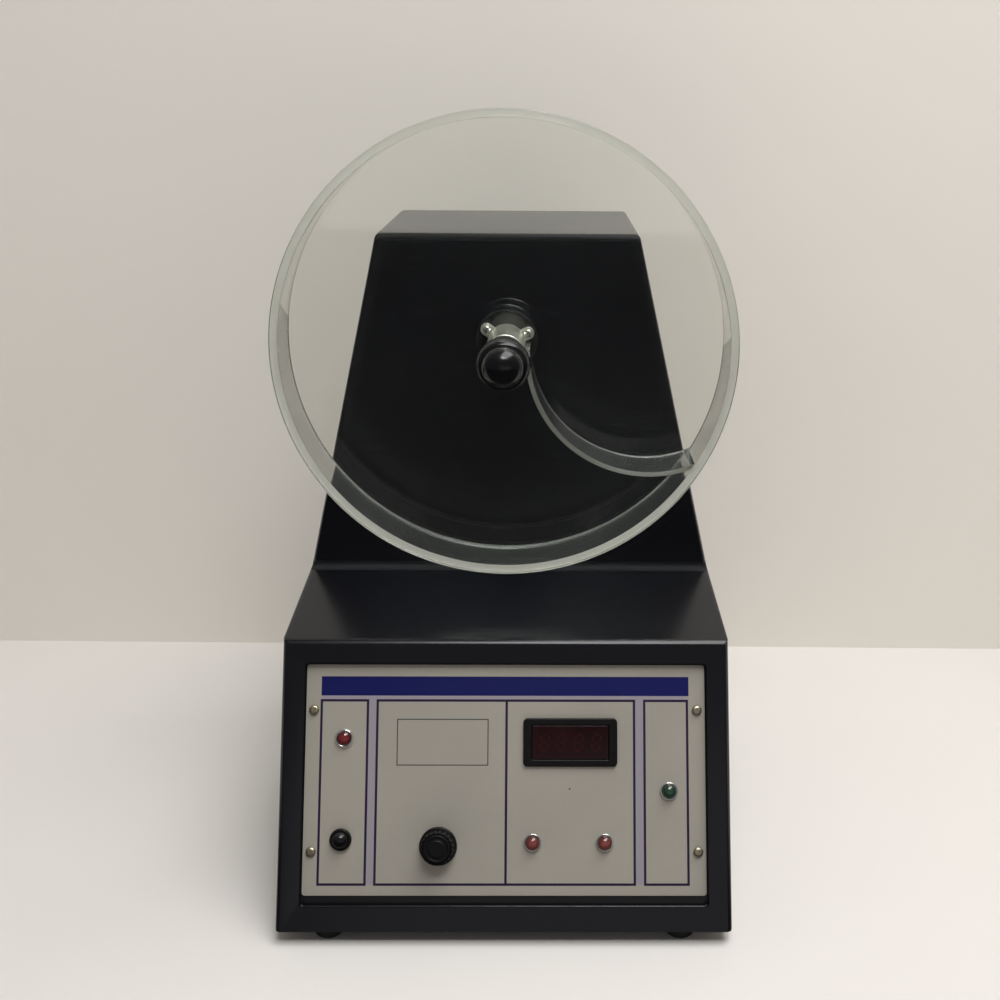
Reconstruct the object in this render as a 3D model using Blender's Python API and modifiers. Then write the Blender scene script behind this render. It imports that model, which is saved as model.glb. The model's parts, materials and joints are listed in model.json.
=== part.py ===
"""Single-drum tablet friability tester: a clear drum with a curved baffle, turned
by a gear motor in a folded steel tower, over a sloping control panel.

Metres, +Z up, front towards -Y. The origin is the middle of the footprint, on
the surface that the feet stand on.
"""
import math

import bmesh
import bpy
from mathutils import Matrix, Vector

# Fits and small shared sizes
TOUCH_GAP = 0.0003
RUNNING_GAP = 0.001
CUT_OVERRUN = 0.004
MERGE_DISTANCE = 0.00001
SHEET = 0.002
FOLD_RADIUS = 0.003
EDGE_BREAK = 0.0006
SHADING_ANGLE = math.radians(32)

# Sides of the turned pieces and the holes, by their size
SCREW_SIDES = 10
BUTTON_SIDES = 16
HUB_SIDES = 24
DRUM_SIDES = 64

# Case, folded from sheet steel
BOX_WIDTH = 0.300
BOX_FRONT_HEIGHT = 0.171
FRONT_LEAN = math.radians(25.6)
DECK_DEPTH = 0.093
DECK_RISE = 0.016
TOWER_HEIGHT = 0.243
TOWER_DEPTH = 0.157
TOWER_TOP_WIDTH = 0.179
REAR_FLANGE = 0.014
BASE_FLANGE = 0.042

# Front frame and control panel
FRAME_TOP = 0.015
FRAME_SIDE = 0.015
FRAME_FOOT = 0.0156
APERTURE_CORNER = 0.003
PANEL_RECESS = 0.005
PANEL_THICKNESS = 0.002
PANEL_SIDE_GAP = 0.001
PANEL_FOOT_GAP = 0.0065
LEDGE = 0.013

# Drum
DRUM_BORE = 0.287
DRUM_DEPTH = 0.038
DRUM_WALL = 0.005
PLATE_THICKNESS = 0.005
AXIS_ABOVE_TOWER_FOOT = 0.177
DRUM_TO_TOWER = 0.035
RING_DIAMETER = 0.025
BAFFLE_INSIDE_RADIUS = 0.078
BAFFLE_THICKNESS = 0.003
EAR_CIRCLE_RADIUS = 0.0158
EAR_RADIUS = 0.004
EAR_THICKNESS = 0.003
EAR_COUNT = 3
FIRST_EAR_ANGLE = math.radians(25)
HUB_SCREW_DIAMETER = 0.003
HUB_SCREW_LENGTH = 0.012
HUB_SCREW_HEAD_RADIUS = 0.0027
HUB_SCREW_HEAD_HEIGHT = 0.0019

# Knob that holds the cover
KNOB_NECK_RADIUS = 0.009
KNOB_NECK_LENGTH = 0.023
KNOB_RIM_RADIUS = 0.0167
KNOB_RIM_LENGTH = 0.012
KNOB_DOME_RADIUS = 0.013
KNOB_DOME_HEIGHT = 0.011

# Drive
SHAFT_DIAMETER = 0.010
THREAD_DIAMETER = 0.008
THREAD_LENGTH = 0.014
SHAFT_BEHIND_TOWER = 0.042
DRIVE_FLANGE_RADIUS = 0.0205
DRIVE_FLANGE_THICKNESS = 0.006
DRIVE_HUB_RADIUS = 0.011
BEARING_DIAMETER = 0.030
BEARING_WIDTH = 0.009
BEARING_SHOULDER = 0.003
BEARING_FACE_GROOVE = 0.0008
BEARING_RACE = 0.0025
BARREL_WALL = 0.0035
NOSE_LENGTH = 0.021
COLLAR_WIDTH = 0.005
COLLAR_LENGTH = 0.003
BARREL_BEHIND_WALL = 0.024
RING_NUT_LENGTH = 0.006
RING_NUT_WIDTH = 0.006
COUPLING_RADIUS = 0.010
COUPLING_LENGTH = 0.025
BRACKET_DEPTH = 0.060
BRACKET_WIDTH = 0.080
BRACKET_HEIGHT = 0.062
BRACKET_FOOT = 0.018
BRACKET_SHEET = 0.0025
GEARBOX_RADIUS = 0.021
GEARBOX_LENGTH = 0.034
GEARBOX_SHAFT_DIAMETER = 0.008
GEARBOX_SHAFT_LENGTH = 0.016
GEARBOX_PILOT_RADIUS = 0.0125
GEARBOX_PILOT_LENGTH = 0.0022
GEARBOX_BAND = 0.0008
MOTOR_RADIUS = 0.0195
MOTOR_LENGTH = 0.048
MOTOR_CAP_RADIUS = 0.0085
MOTOR_CAP_LENGTH = 0.003

# Speed knob and potentiometer
SPEED_KNOB_RADIUS = 0.0125
SPEED_KNOB_GRIP_RADIUS = 0.0108
SPEED_KNOB_CAP_RADIUS = 0.0092
SPEED_KNOB_SKIRT = 0.003
SPEED_KNOB_GRIP = 0.0095
SPEED_KNOB_CAP = 0.0015
SPEED_KNOB_HOLLOW_RADIUS = 0.0068
SPEED_KNOB_HOLLOW_DEPTH = 0.0055
FLUTE_COUNT = 20
FLUTE_DEPTH = 0.0007
POT_RADIUS = 0.0115
POT_LENGTH = 0.010
POT_BUSH_RADIUS = 0.0045
POT_BUSH_PROUD = 0.0045
POT_SHAFT_RADIUS = 0.003
POT_SHAFT_PROUD = 0.0105

# Push buttons, mains switch and lamp
BUTTON_RADIUS = 0.0046
BUTTON_PROUD = 0.0065
BUTTON_STEM = 0.004
BUTTON_TRAVEL = 0.0025
BUTTON_COLLAR_RADIUS = 0.0059
BUTTON_COLLAR_HEIGHT = 0.002
BUTTON_BODY_WALL = 0.0006
BUTTON_BODY_LENGTH = 0.014
MAINS_BUTTON_RADIUS = 0.0052
MAINS_BUTTON_PROUD = 0.008
MAINS_COLLAR_RADIUS = 0.0072
MAINS_COLLAR_HEIGHT = 0.0035
MAINS_BODY_LENGTH = 0.020
LAMP_LENS_RADIUS = 0.0046
LAMP_LENS_PROUD = 0.0048
LAMP_BEZEL_RADIUS = 0.0065
LAMP_BEZEL_HEIGHT = 0.0026
LAMP_BODY_LENGTH = 0.018

# Display
DISPLAY_WIDTH = 0.063
DISPLAY_HEIGHT = 0.032
DISPLAY_PROUD = 0.0025
DISPLAY_CORNER = 0.003
DISPLAY_SKIRT_INSET = 0.003
DISPLAY_SKIRT_DEPTH = 0.010
WINDOW_WIDTH = 0.051
WINDOW_HEIGHT = 0.022
WINDOW_SEAT = 0.0015
DISPLAY_BOARD_MARGIN = 0.004
BOARD_THICKNESS = 0.0016
DIGIT_BLOCK_WIDTH = 0.048
DIGIT_BLOCK_HEIGHT = 0.018
DIGIT_BLOCK_GAP = 0.001

# Screws
PANEL_SCREW_RADIUS = 0.0015
PANEL_SCREW_LENGTH = 0.008
PANEL_SCREW_HEAD_RADIUS = 0.0033
PANEL_SCREW_HEAD_HEIGHT = 0.0022
COVER_SCREW_RADIUS = 0.0015
COVER_SCREW_LENGTH = 0.008
COVER_SCREW_HEAD_RADIUS = 0.0033
COVER_SCREW_HEAD_HEIGHT = 0.0022
PAN_SHOULDER_SHARE = 0.7

# Feet
FOOT_HEIGHT = 0.010
FOOT_RADIUS = 0.0105
FOOT_TAPER = 0.001
FOOT_SIDE_INSET = 0.033
FOOT_END_INSET = 0.016
FOOT_RECESS_RADIUS = 0.0048
FOOT_RECESS_DEPTH = 0.004
FOOT_SCREW_RADIUS = 0.002
FOOT_SCREW_HEAD_RADIUS = 0.0038
FOOT_SCREW_HEAD_HEIGHT = 0.0026
FOOT_SCREW_LENGTH = 0.014

# Rear cover and mains entry
REAR_COVER_INSET = 0.001
VENT_COUNT = 6
VENT_WIDTH = 0.060
VENT_HEIGHT = 0.004
VENT_PITCH = 0.009
INLET_WIDTH = 0.048
INLET_HEIGHT = 0.027
INLET_PROUD = 0.003
INLET_BODY_INSET = 0.004
INLET_BODY_DEPTH = 0.022
INLET_SOCKET_INSET = 0.0035
INLET_SOCKET_DEPTH = 0.016
INLET_PIN_RADIUS = 0.0016
INLET_PIN_PITCH = 0.007
INLET_PIN_LENGTH = 0.012
FUSE_CAP_RADIUS = 0.0075
FUSE_CAP_PROUD = 0.009
FUSE_BODY_RADIUS = 0.0062
FUSE_BODY_LENGTH = 0.026

# Electronics on the base plate
STANDOFF_RADIUS = 0.003
STANDOFF_HEIGHT = 0.008
STANDOFF_INSET = 0.006
MAIN_BOARD_WIDTH = 0.120
MAIN_BOARD_DEPTH = 0.085
RELAY_SIZE = (0.019, 0.016, 0.015)
HEAT_SINK_SIZE = (0.034, 0.012, 0.030)
TERMINAL_SIZE = (0.050, 0.010, 0.012)
CAPACITOR_RADIUS = 0.009
CAPACITOR_HEIGHT = 0.030
CORE_SIZE = (0.062, 0.036, 0.052)
CORE_COIL_PROUD = 0.011
CORE_COIL_INSET = 0.009
CORE_TAB = 0.012

# Places on the panel: share of its half width to the right, share of its height down
LAMP_PLACE_SHARES = (-0.805, 0.323)
MAINS_PLACE_SHARES = (-0.812, 0.760)
SPEED_PLACE_SHARES = (-0.329, 0.787)
DISPLAY_PLACE_SHARES = (0.324, 0.340)
TIMER_LEFT_PLACE_SHARES = (0.137, 0.773)
TIMER_RIGHT_PLACE_SHARES = (0.495, 0.773)
START_PLACE_SHARES = (0.8165, 0.551)
PANEL_SCREW_ROW_SHARES = (0.200, 0.813)

# Places on the back and the base: shares of the half width, the height and the depth
INLET_PLACE_SHARES = (-0.45, 0.075)
FUSE_PLACE_SHARES = (-0.10, 0.075)
VENT_TOP_SHARE = 0.86
MAIN_BOARD_PLACE_SHARES = (-0.295, 0.60)
TRANSFORMER_PLACE_SHARES = (0.42, 0.62)
CAPACITOR_PLACE_SHARES = ((-0.60, -0.45), (-0.25, -0.45))
RELAY_PLACE_SHARES = (0.35, -0.50)
HEAT_SINK_PLACE_SHARES = (-0.30, 0.45)
TERMINAL_PLACE_SHARES = (0.40, 0.70)

# Sizes that follow from the ones above
SLOPE_RUN = BOX_FRONT_HEIGHT * math.tan(FRONT_LEAN)
SLOPE_LENGTH = BOX_FRONT_HEIGHT / math.cos(FRONT_LEAN)
APERTURE_WIDTH = BOX_WIDTH - 2 * FRAME_SIDE
APERTURE_HEIGHT = SLOPE_LENGTH - FRAME_TOP - FRAME_FOOT
CASE_DEPTH = SLOPE_RUN + DECK_DEPTH + TOWER_DEPTH
CASE_FRONT_Y = -(CASE_DEPTH + TOUCH_GAP + SHEET + FUSE_CAP_PROUD) / 2
CASE_REAR_Y = CASE_FRONT_Y + CASE_DEPTH
CASE_BOTTOM_Z = FOOT_HEIGHT + TOUCH_GAP
BOX_TOP_Z = CASE_BOTTOM_Z + BOX_FRONT_HEIGHT
TOWER_FOOT_Z = BOX_TOP_Z + DECK_RISE
TOWER_TOP_Z = TOWER_FOOT_Z + TOWER_HEIGHT
TOWER_FRONT_Y = CASE_REAR_Y - TOWER_DEPTH
TOWER_INNER_Y = TOWER_FRONT_Y + SHEET
AXIS_Z = TOWER_FOOT_Z + AXIS_ABOVE_TOWER_FOOT
BORE_RADIUS = DRUM_BORE / 2
DRUM_RADIUS = BORE_RADIUS + DRUM_WALL
DRUM_LENGTH = 2 * PLATE_THICKNESS + DRUM_DEPTH
DRUM_FRONT_Y = TOWER_FRONT_Y - DRUM_TO_TOWER - DRUM_LENGTH
SHAFT_RADIUS = SHAFT_DIAMETER / 2
SHAFT_HOLE_RADIUS = SHAFT_RADIUS + TOUCH_GAP
RING_RADIUS = RING_DIAMETER / 2
HUB_SCREW_RADIUS = HUB_SCREW_DIAMETER / 2
HUB_SCREW_HOLE_RADIUS = HUB_SCREW_RADIUS + TOUCH_GAP
BARREL_RADIUS = BEARING_DIAMETER / 2 + BARREL_WALL
PANEL_WIDTH = APERTURE_WIDTH - 2 * PANEL_SIDE_GAP
PANEL_HEIGHT = APERTURE_HEIGHT - PANEL_SIDE_GAP - PANEL_FOOT_GAP

# Depths along the drum's axis, measured from the cover's front face towards the back
RIM_FRONT = PLATE_THICKNESS + TOUCH_GAP
REAR_PLATE_FRONT = PLATE_THICKNESS + DRUM_DEPTH
REAR_PLATE_BACK = REAR_PLATE_FRONT + PLATE_THICKNESS
DRIVE_FLANGE_FRONT = REAR_PLATE_BACK + TOUCH_GAP
TOWER_FACE = REAR_PLATE_BACK + DRUM_TO_TOWER
TOWER_INSIDE = TOWER_FACE + SHEET
NOSE_FRONT = TOWER_FACE - NOSE_LENGTH
BARREL_BACK = TOWER_INSIDE + BARREL_BEHIND_WALL
SHAFT_BACK = TOWER_INSIDE + SHAFT_BEHIND_TOWER
BRACKET_BACK = TOWER_INSIDE + TOUCH_GAP + BRACKET_DEPTH
GEARBOX_FRONT = BRACKET_BACK + TOUCH_GAP
GEARBOX_BACK = GEARBOX_FRONT + GEARBOX_LENGTH
MOTOR_FRONT = GEARBOX_BACK + TOUCH_GAP

PARTS = "tablet_friability_tester"
CUTTERS = "cutters"


def clear_scene():
    """Remove every object that the scene starts with."""
    for obj in list(bpy.data.objects):
        bpy.data.objects.remove(obj, do_unlink=True)


def collection(name):
    """The scene's collection of that name, made once."""
    found = bpy.data.collections.get(name)
    if found is None:
        found = bpy.data.collections.new(name)
        bpy.context.scene.collection.children.link(found)
    return found


def material(name, colour, roughness, metallic=0.0, alpha=1.0):
    """A Principled material, made once for each name."""
    found = bpy.data.materials.get(name)
    if found is None:
        found = bpy.data.materials.new(name)
        found.use_nodes = True
        shader = found.node_tree.nodes["Principled BSDF"]
        shader.inputs["Base Color"].default_value = (*colour, 1.0)
        shader.inputs["Roughness"].default_value = roughness
        shader.inputs["Metallic"].default_value = metallic
        shader.inputs["Alpha"].default_value = alpha
    return found


def black_paint():
    return material("black_paint", (0.012, 0.012, 0.015), 0.42)


def grey_panel():
    return material("grey_panel", (0.42, 0.41, 0.38), 0.45)


def clear_acrylic():
    return material("clear_acrylic", (0.90, 0.95, 0.93), 0.05, alpha=0.25)


def satin_aluminium():
    return material("satin_aluminium", (0.78, 0.77, 0.72), 0.32, metallic=1.0)


def bright_steel():
    return material("bright_steel", (0.66, 0.65, 0.62), 0.25, metallic=1.0)


def black_plastic():
    return material("black_plastic", (0.010, 0.010, 0.011), 0.18)


def black_rubber():
    return material("black_rubber", (0.016, 0.016, 0.016), 0.80)


def red_plastic():
    return material("red_plastic", (0.45, 0.02, 0.02), 0.20)


def green_plastic():
    return material("green_plastic", (0.01, 0.16, 0.07), 0.20)


def dark_red_window():
    return material("dark_red_window", (0.09, 0.004, 0.006), 0.10)


def green_board():
    return material("green_board", (0.02, 0.16, 0.06), 0.50)


def grey_core():
    return material("grey_core", (0.20, 0.20, 0.21), 0.55, metallic=0.6)


def smooth_by_angle():
    """Node group that shades faces smooth and keeps edges sharper than a limit."""
    found = bpy.data.node_groups.get("smooth_by_angle")
    if found is not None:
        return found
    group = bpy.data.node_groups.new("smooth_by_angle", "GeometryNodeTree")
    group.interface.new_socket("Geometry", in_out="INPUT", socket_type="NodeSocketGeometry")
    group.interface.new_socket("Geometry", in_out="OUTPUT", socket_type="NodeSocketGeometry")
    entry = group.nodes.new("NodeGroupInput")
    leave = group.nodes.new("NodeGroupOutput")
    faces = group.nodes.new("GeometryNodeSetShadeSmooth")
    edges = group.nodes.new("GeometryNodeSetShadeSmooth")
    edges.domain = "EDGE"
    edges.inputs["Shade Smooth"].default_value = False
    angle = group.nodes.new("GeometryNodeInputMeshEdgeAngle")
    sharper = group.nodes.new("FunctionNodeCompare")
    sharper.operation = "GREATER_THAN"
    sharper.inputs[1].default_value = SHADING_ANGLE
    group.links.new(entry.outputs[0], faces.inputs["Geometry"])
    group.links.new(faces.outputs["Geometry"], edges.inputs["Geometry"])
    group.links.new(angle.outputs["Unsigned Angle"], sharper.inputs[0])
    group.links.new(sharper.outputs["Result"], edges.inputs["Selection"])
    group.links.new(edges.outputs["Geometry"], leave.inputs[0])
    return group


def add_object(name, data, where, finish=None, parent=None, at=(0, 0, 0), turn=(0, 0, 0)):
    """Put a new object in a collection, placed in its parent's frame."""
    obj = bpy.data.objects.new(name, data)
    collection(where).objects.link(obj)
    obj.parent = parent
    obj.location = at
    obj.rotation_euler = turn
    if finish is not None:
        obj.data.materials.append(finish)
    return obj


def as_part(obj):
    """Close a part's modifier list with its shading and return it."""
    shading = obj.modifiers.new("smooth by angle", "NODES")
    shading.node_group = smooth_by_angle()
    return obj


def as_cutter(obj):
    """Show an object as a wire guide, left out of the finished part."""
    obj.hide_render = True
    obj.display_type = "WIRE"
    return obj


def frame(name, at, tilt):
    """An empty that carries a joint or a sloping face: turned about X only."""
    empty = add_object(name, None, PARTS, at=at, turn=(tilt, 0, 0))
    empty.empty_display_size = FOOT_HEIGHT
    return empty


def mesh_from(build):
    """A mesh filled by a function that works on a bmesh."""
    mesh = bpy.data.meshes.new("shape")
    bm = bmesh.new()
    build(bm)
    bm.to_mesh(mesh)
    bm.free()
    return mesh


def rod_mesh(radius, low, high, sides=BUTTON_SIDES):
    """Closed cylinder along local Z between two heights."""
    middle = Matrix.Translation((0, 0, (low + high) / 2))

    def build(bm):
        bmesh.ops.create_cone(
            bm, cap_ends=True, segments=sides, radius1=radius, radius2=radius,
            depth=high - low, matrix=middle)
        for face in bm.faces:
            face.smooth = True
    return mesh_from(build)


def block_mesh(size, centre=(0, 0, 0)):
    """Closed box of a given size round a centre."""
    place = Matrix.Translation(centre) @ Matrix.Diagonal((*size, 1))
    return mesh_from(lambda bm: bmesh.ops.create_cube(bm, size=1, matrix=place))


def slab_mesh(outline, low, high):
    """Closed mesh of a flat outline in X and Y, extruded along local Z."""
    curve = bpy.data.curves.new("outline", "CURVE")
    curve.dimensions = "2D"
    curve.fill_mode = "BOTH"
    curve.extrude = (high - low) / 2
    spline = curve.splines.new("POLY")
    spline.points.add(len(outline) - 1)
    for point, (x, y) in zip(spline.points, outline):
        point.co = (x, y, 0, 1)
    spline.use_cyclic_u = True
    holder = bpy.data.objects.new("outline", curve)
    bpy.context.scene.collection.objects.link(holder)
    graph = bpy.context.evaluated_depsgraph_get()
    mesh = bpy.data.meshes.new_from_object(holder.evaluated_get(graph))
    bpy.data.objects.remove(holder, do_unlink=True)
    bpy.data.curves.remove(curve)
    bm = bmesh.new()
    bm.from_mesh(mesh)
    bmesh.ops.remove_doubles(bm, verts=bm.verts, dist=MERGE_DISTANCE)
    bmesh.ops.translate(bm, verts=bm.verts, vec=(0, 0, (low + high) / 2))
    bmesh.ops.recalc_face_normals(bm, faces=bm.faces)
    bm.to_mesh(mesh)
    bm.free()
    return mesh


def turn_profile(obj, steps):
    """Screw modifier that turns a profile about the object's local Z."""
    screw = obj.modifiers.new("turn", "SCREW")
    screw.axis = "Z"
    screw.angle = math.tau
    screw.steps = steps
    screw.render_steps = steps
    screw.use_merge_vertices = True
    screw.merge_threshold = MERGE_DISTANCE
    screw.use_smooth_shade = True


def profile_mesh(profile, closed):
    """Wire of (radius, height) points, which runs down the piece's outer side."""
    def build(bm):
        verts = [bm.verts.new((radius, 0, height)) for radius, height in profile]
        for first, second in zip(verts, verts[1:]):
            bm.edges.new((first, second))
        if closed:
            bm.edges.new((verts[-1], verts[0]))
    return mesh_from(build)


def turned(name, profile, finish, parent, at=(0, 0, 0), steps=HUB_SIDES, closed=False):
    """A turned part. A closed profile leaves a bore on the axis."""
    obj = add_object(name, profile_mesh(profile, closed), PARTS, finish, parent, at)
    turn_profile(obj, steps)
    return obj


def ring_profile(outer, inner, top, bottom):
    """Closed profile of a plain ring."""
    return [(inner, top), (outer, top), (outer, bottom), (inner, bottom)]


def cutter(name, mesh, parent=None, at=(0, 0, 0), turn=(0, 0, 0)):
    return as_cutter(add_object(name, mesh, CUTTERS, None, parent, at, turn))


def boolean(target, tool, operation):
    step = target.modifiers.new(tool.name, "BOOLEAN")
    step.operation = operation
    step.object = tool
    step.solver = "EXACT"


def cut(target, tool):
    boolean(target, tool, "DIFFERENCE")


def join(target, tool):
    boolean(target, tool, "UNION")


def keep_within(target, tool):
    boolean(target, tool, "INTERSECT")


def round_edges(target, width, segments=2, angle=SHADING_ANGLE):
    bevel = target.modifiers.new("edges", "BEVEL")
    bevel.width = width
    bevel.segments = segments
    bevel.limit_method = "ANGLE"
    bevel.angle_limit = angle


def arc(centre, radius, start, end, steps):
    """Points on an arc, both ends included."""
    span = end - start
    angles = [start + span * step / steps for step in range(steps + 1)]
    return [
        (centre[0] + radius * math.cos(a), centre[1] + radius * math.sin(a))
        for a in angles]


def rounded_rectangle(width, height, corner, steps=4):
    """Outline of a rectangle with round corners, about its middle."""
    across = width / 2 - corner
    up = height / 2 - corner
    corners = ((across, up), (-across, up), (-across, -up), (across, -up))
    points = []
    for index, centre in enumerate(corners):
        start = index * math.pi / 2
        points += arc(centre, corner, start, start + math.pi / 2, steps)
    return points


def inset_outline(points, distance):
    """Move each side of a counter-clockwise outline inwards by one distance."""
    moved = []
    for index, point in enumerate(points):
        before = Vector(points[index - 1])
        here = Vector(point)
        after = Vector(points[(index + 1) % len(points)])
        first = (here - before).normalized()
        second = (after - here).normalized()
        inward = Vector((-first.y, first.x)) + Vector((-second.y, second.x))
        scale = distance / (1 + first.dot(second))
        moved.append(tuple(here + inward * scale))
    return moved


def case_side_outline(bottom, rear=CASE_REAR_Y):
    """The case from its right side, as (y, z): slope, deck, tower face, top and back."""
    front = CASE_FRONT_Y + (bottom - CASE_BOTTOM_Z) * math.tan(FRONT_LEAN)
    return [
        (front, bottom), (rear, bottom), (rear, TOWER_TOP_Z),
        (TOWER_FRONT_Y, TOWER_TOP_Z), (TOWER_FRONT_Y, TOWER_FOOT_Z),
        (CASE_FRONT_Y + SLOPE_RUN, BOX_TOP_Z)]


def case_front_outline(bottom):
    """The case from the front, as (x, z): upright box sides, then the tower's taper."""
    box = BOX_WIDTH / 2
    top = TOWER_TOP_WIDTH / 2
    return [
        (-box, bottom), (box, bottom), (box, BOX_TOP_Z),
        (top, TOWER_TOP_Z), (-top, TOWER_TOP_Z), (-box, BOX_TOP_Z)]


def swap_to_world(mesh, matrix):
    """Lay a slab drawn in its own plane into the world's axes."""
    mesh.transform(matrix)
    return mesh


# Local X, Y, Z of a slab become world Y, Z, X: a side view extruded across the case
SIDE_VIEW = Matrix(((0, 0, 1, 0), (1, 0, 0, 0), (0, 1, 0, 0), (0, 0, 0, 1)))
# Local X, Y, Z become world X, Z, -Y: a front view extruded along the depth
FRONT_VIEW = Matrix(((1, 0, 0, 0), (0, 0, -1, 0), (0, 1, 0, 0), (0, 0, 0, 1)))


def side_slab(outline, half_width):
    return swap_to_world(slab_mesh(outline, -half_width, half_width), SIDE_VIEW)


def front_slab(outline, front, rear):
    """Slab of a front view between two world Y values."""
    return swap_to_world(slab_mesh(outline, -rear, -front), FRONT_VIEW)


def panel_place(shares):
    """A place on the panel's front face, in the panel's own frame."""
    across, down = shares
    return (across * PANEL_WIDTH / 2, PANEL_HEIGHT / 2 - down * PANEL_HEIGHT, 0)


def panel_frame():
    """Empty at the middle of the panel's front face, with +Z out of the panel."""
    down_slope = FRAME_TOP + PANEL_SIDE_GAP + PANEL_HEIGHT / 2
    top = Vector((0, CASE_FRONT_Y + SLOPE_RUN, BOX_TOP_Z))
    along = Vector((0, -math.sin(FRONT_LEAN), -math.cos(FRONT_LEAN)))
    inward = Vector((0, math.cos(FRONT_LEAN), -math.sin(FRONT_LEAN)))
    place = top + along * down_slope + inward * PANEL_RECESS
    return frame("panel_frame", place, math.pi / 2 - FRONT_LEAN)


def drum_frame():
    """Empty on the drum's axis at the cover's front face, with +Z towards the front."""
    return frame("drum_axis", (0, DRUM_FRONT_Y, AXIS_Z), math.pi / 2)


def foot_places():
    """World X and Y of the four feet: front left, front right, rear left, rear right."""
    across = BOX_WIDTH / 2 - FOOT_SIDE_INSET
    front = CASE_FRONT_Y + FOOT_END_INSET
    rear = CASE_REAR_Y - FOOT_END_INSET
    return {
        "front_left": (-across, front), "front_right": (across, front),
        "rear_left": (-across, rear), "rear_right": (across, rear)}


def build_housing(panel, axis):
    """The folded steel case: a hollow wedge and tower with a recessed front frame."""
    width = BOX_WIDTH / 2 + CUT_OVERRUN
    spare = 2 * FOLD_RADIUS
    below = CASE_BOTTOM_Z - spare
    behind = CASE_REAR_Y + spare
    shape = add_object(
        "housing", side_slab(case_side_outline(below, behind), width), PARTS, black_paint())
    front_view = front_slab(case_front_outline(below), CASE_FRONT_Y - spare, behind + spare)
    keep_within(shape, cutter("case_front_view", front_view))
    round_edges(shape, FOLD_RADIUS)
    # The bottom and back are bare sheet edges, so they are trimmed after the folds
    trim = block_mesh(
        (2 * width, CASE_DEPTH + spare, TOWER_TOP_Z - CASE_BOTTOM_Z + spare),
        (0, (CASE_FRONT_Y - spare + CASE_REAR_Y) / 2, (CASE_BOTTOM_Z + TOWER_TOP_Z + spare) / 2))
    keep_within(shape, cutter("case_trim", trim))

    floor = CASE_BOTTOM_Z + SHEET + TOUCH_GAP
    hollow_side = inset_outline(case_side_outline(floor), SHEET)
    hollow = cutter("case_hollow", side_slab(hollow_side, width))
    hollow_front = inset_outline(case_front_outline(floor), SHEET)
    hollow_guide = cutter(
        "case_hollow_front_view",
        front_slab(hollow_front, CASE_FRONT_Y, CASE_REAR_Y + CUT_OVERRUN))
    keep_within(hollow, hollow_guide)
    cut(shape, hollow)

    ledge_back = PANEL_THICKNESS + TOUCH_GAP + SHEET
    middle_up = (PANEL_SIDE_GAP - PANEL_FOOT_GAP) / 2
    frame_block = block_mesh(
        (APERTURE_WIDTH + 2 * SHEET, APERTURE_HEIGHT + 2 * SHEET,
         PANEL_RECESS - SHEET / 2 + ledge_back),
        (0, middle_up, (PANEL_RECESS - SHEET / 2 - ledge_back) / 2))
    join(shape, cutter("front_frame_block", frame_block, panel))
    opening = rounded_rectangle(APERTURE_WIDTH, APERTURE_HEIGHT, APERTURE_CORNER)
    opening = [(x, y + middle_up) for x, y in opening]
    pocket = slab_mesh(opening, -PANEL_THICKNESS - TOUCH_GAP, PANEL_RECESS + CUT_OVERRUN)
    cut(shape, cutter("front_frame_pocket", pocket, panel))
    ledge_hole = block_mesh(
        (APERTURE_WIDTH - 2 * LEDGE, APERTURE_HEIGHT - 2 * LEDGE,
         2 * (ledge_back + CUT_OVERRUN)), (0, middle_up, 0))
    cut(shape, cutter("front_frame_opening", ledge_hole, panel))

    rear_opening = inset_outline(case_front_outline(CASE_BOTTOM_Z), REAR_FLANGE)
    cut(shape, cutter("rear_opening", front_slab(
        rear_opening, CASE_REAR_Y - SHEET - CUT_OVERRUN, CASE_REAR_Y + CUT_OVERRUN)))
    cut(shape, cutter("base_pocket", base_plate_block(TOUCH_GAP)))
    cut(shape, cutter("base_opening", base_opening_block()))
    # The foot screws pass the floor only: the front frame's ledge lies just above them
    above_floor = CASE_BOTTOM_Z + 3 * SHEET
    for name, (x, y) in foot_places().items():
        hole = rod_mesh(FOOT_SCREW_RADIUS + TOUCH_GAP, 0, above_floor, SCREW_SIDES)
        cut(shape, cutter("case_foot_hole_" + name, hole, at=(x, y, 0)))
    barrel_hole = rod_mesh(
        BARREL_RADIUS + TOUCH_GAP, -TOWER_INSIDE - CUT_OVERRUN, -TOWER_FACE + CUT_OVERRUN, HUB_SIDES)
    cut(shape, cutter("barrel_hole", barrel_hole, axis))
    for name, place in panel_screw_places().items():
        hole = rod_mesh(
            PANEL_SCREW_RADIUS + TOUCH_GAP, -PANEL_SCREW_LENGTH - CUT_OVERRUN, CUT_OVERRUN,
            SCREW_SIDES)
        cut(shape, cutter("ledge_hole_" + name, hole, panel, place))
    for name, (x, z) in cover_screw_places().items():
        cut(shape, cutter("flange_hole_" + name, cover_screw_hole(x, z)))
    return as_part(shape)


def base_plate_block(clearance):
    """The base plate's block, larger all round by a clearance for its pocket."""
    lean_back = (SHEET + 2 * TOUCH_GAP) * math.tan(FRONT_LEAN)
    front = CASE_FRONT_Y + SHEET / math.cos(FRONT_LEAN) + lean_back + TOUCH_GAP - clearance
    rear = CASE_REAR_Y - SHEET - TOUCH_GAP + clearance
    half = BOX_WIDTH / 2 - SHEET - TOUCH_GAP + clearance
    top = CASE_BOTTOM_Z + SHEET + clearance
    bottom = CASE_BOTTOM_Z
    if clearance:
        bottom -= CUT_OVERRUN
    return block_mesh(
        (2 * half, rear - front, top - bottom), (0, (front + rear) / 2, (top + bottom) / 2))


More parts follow.
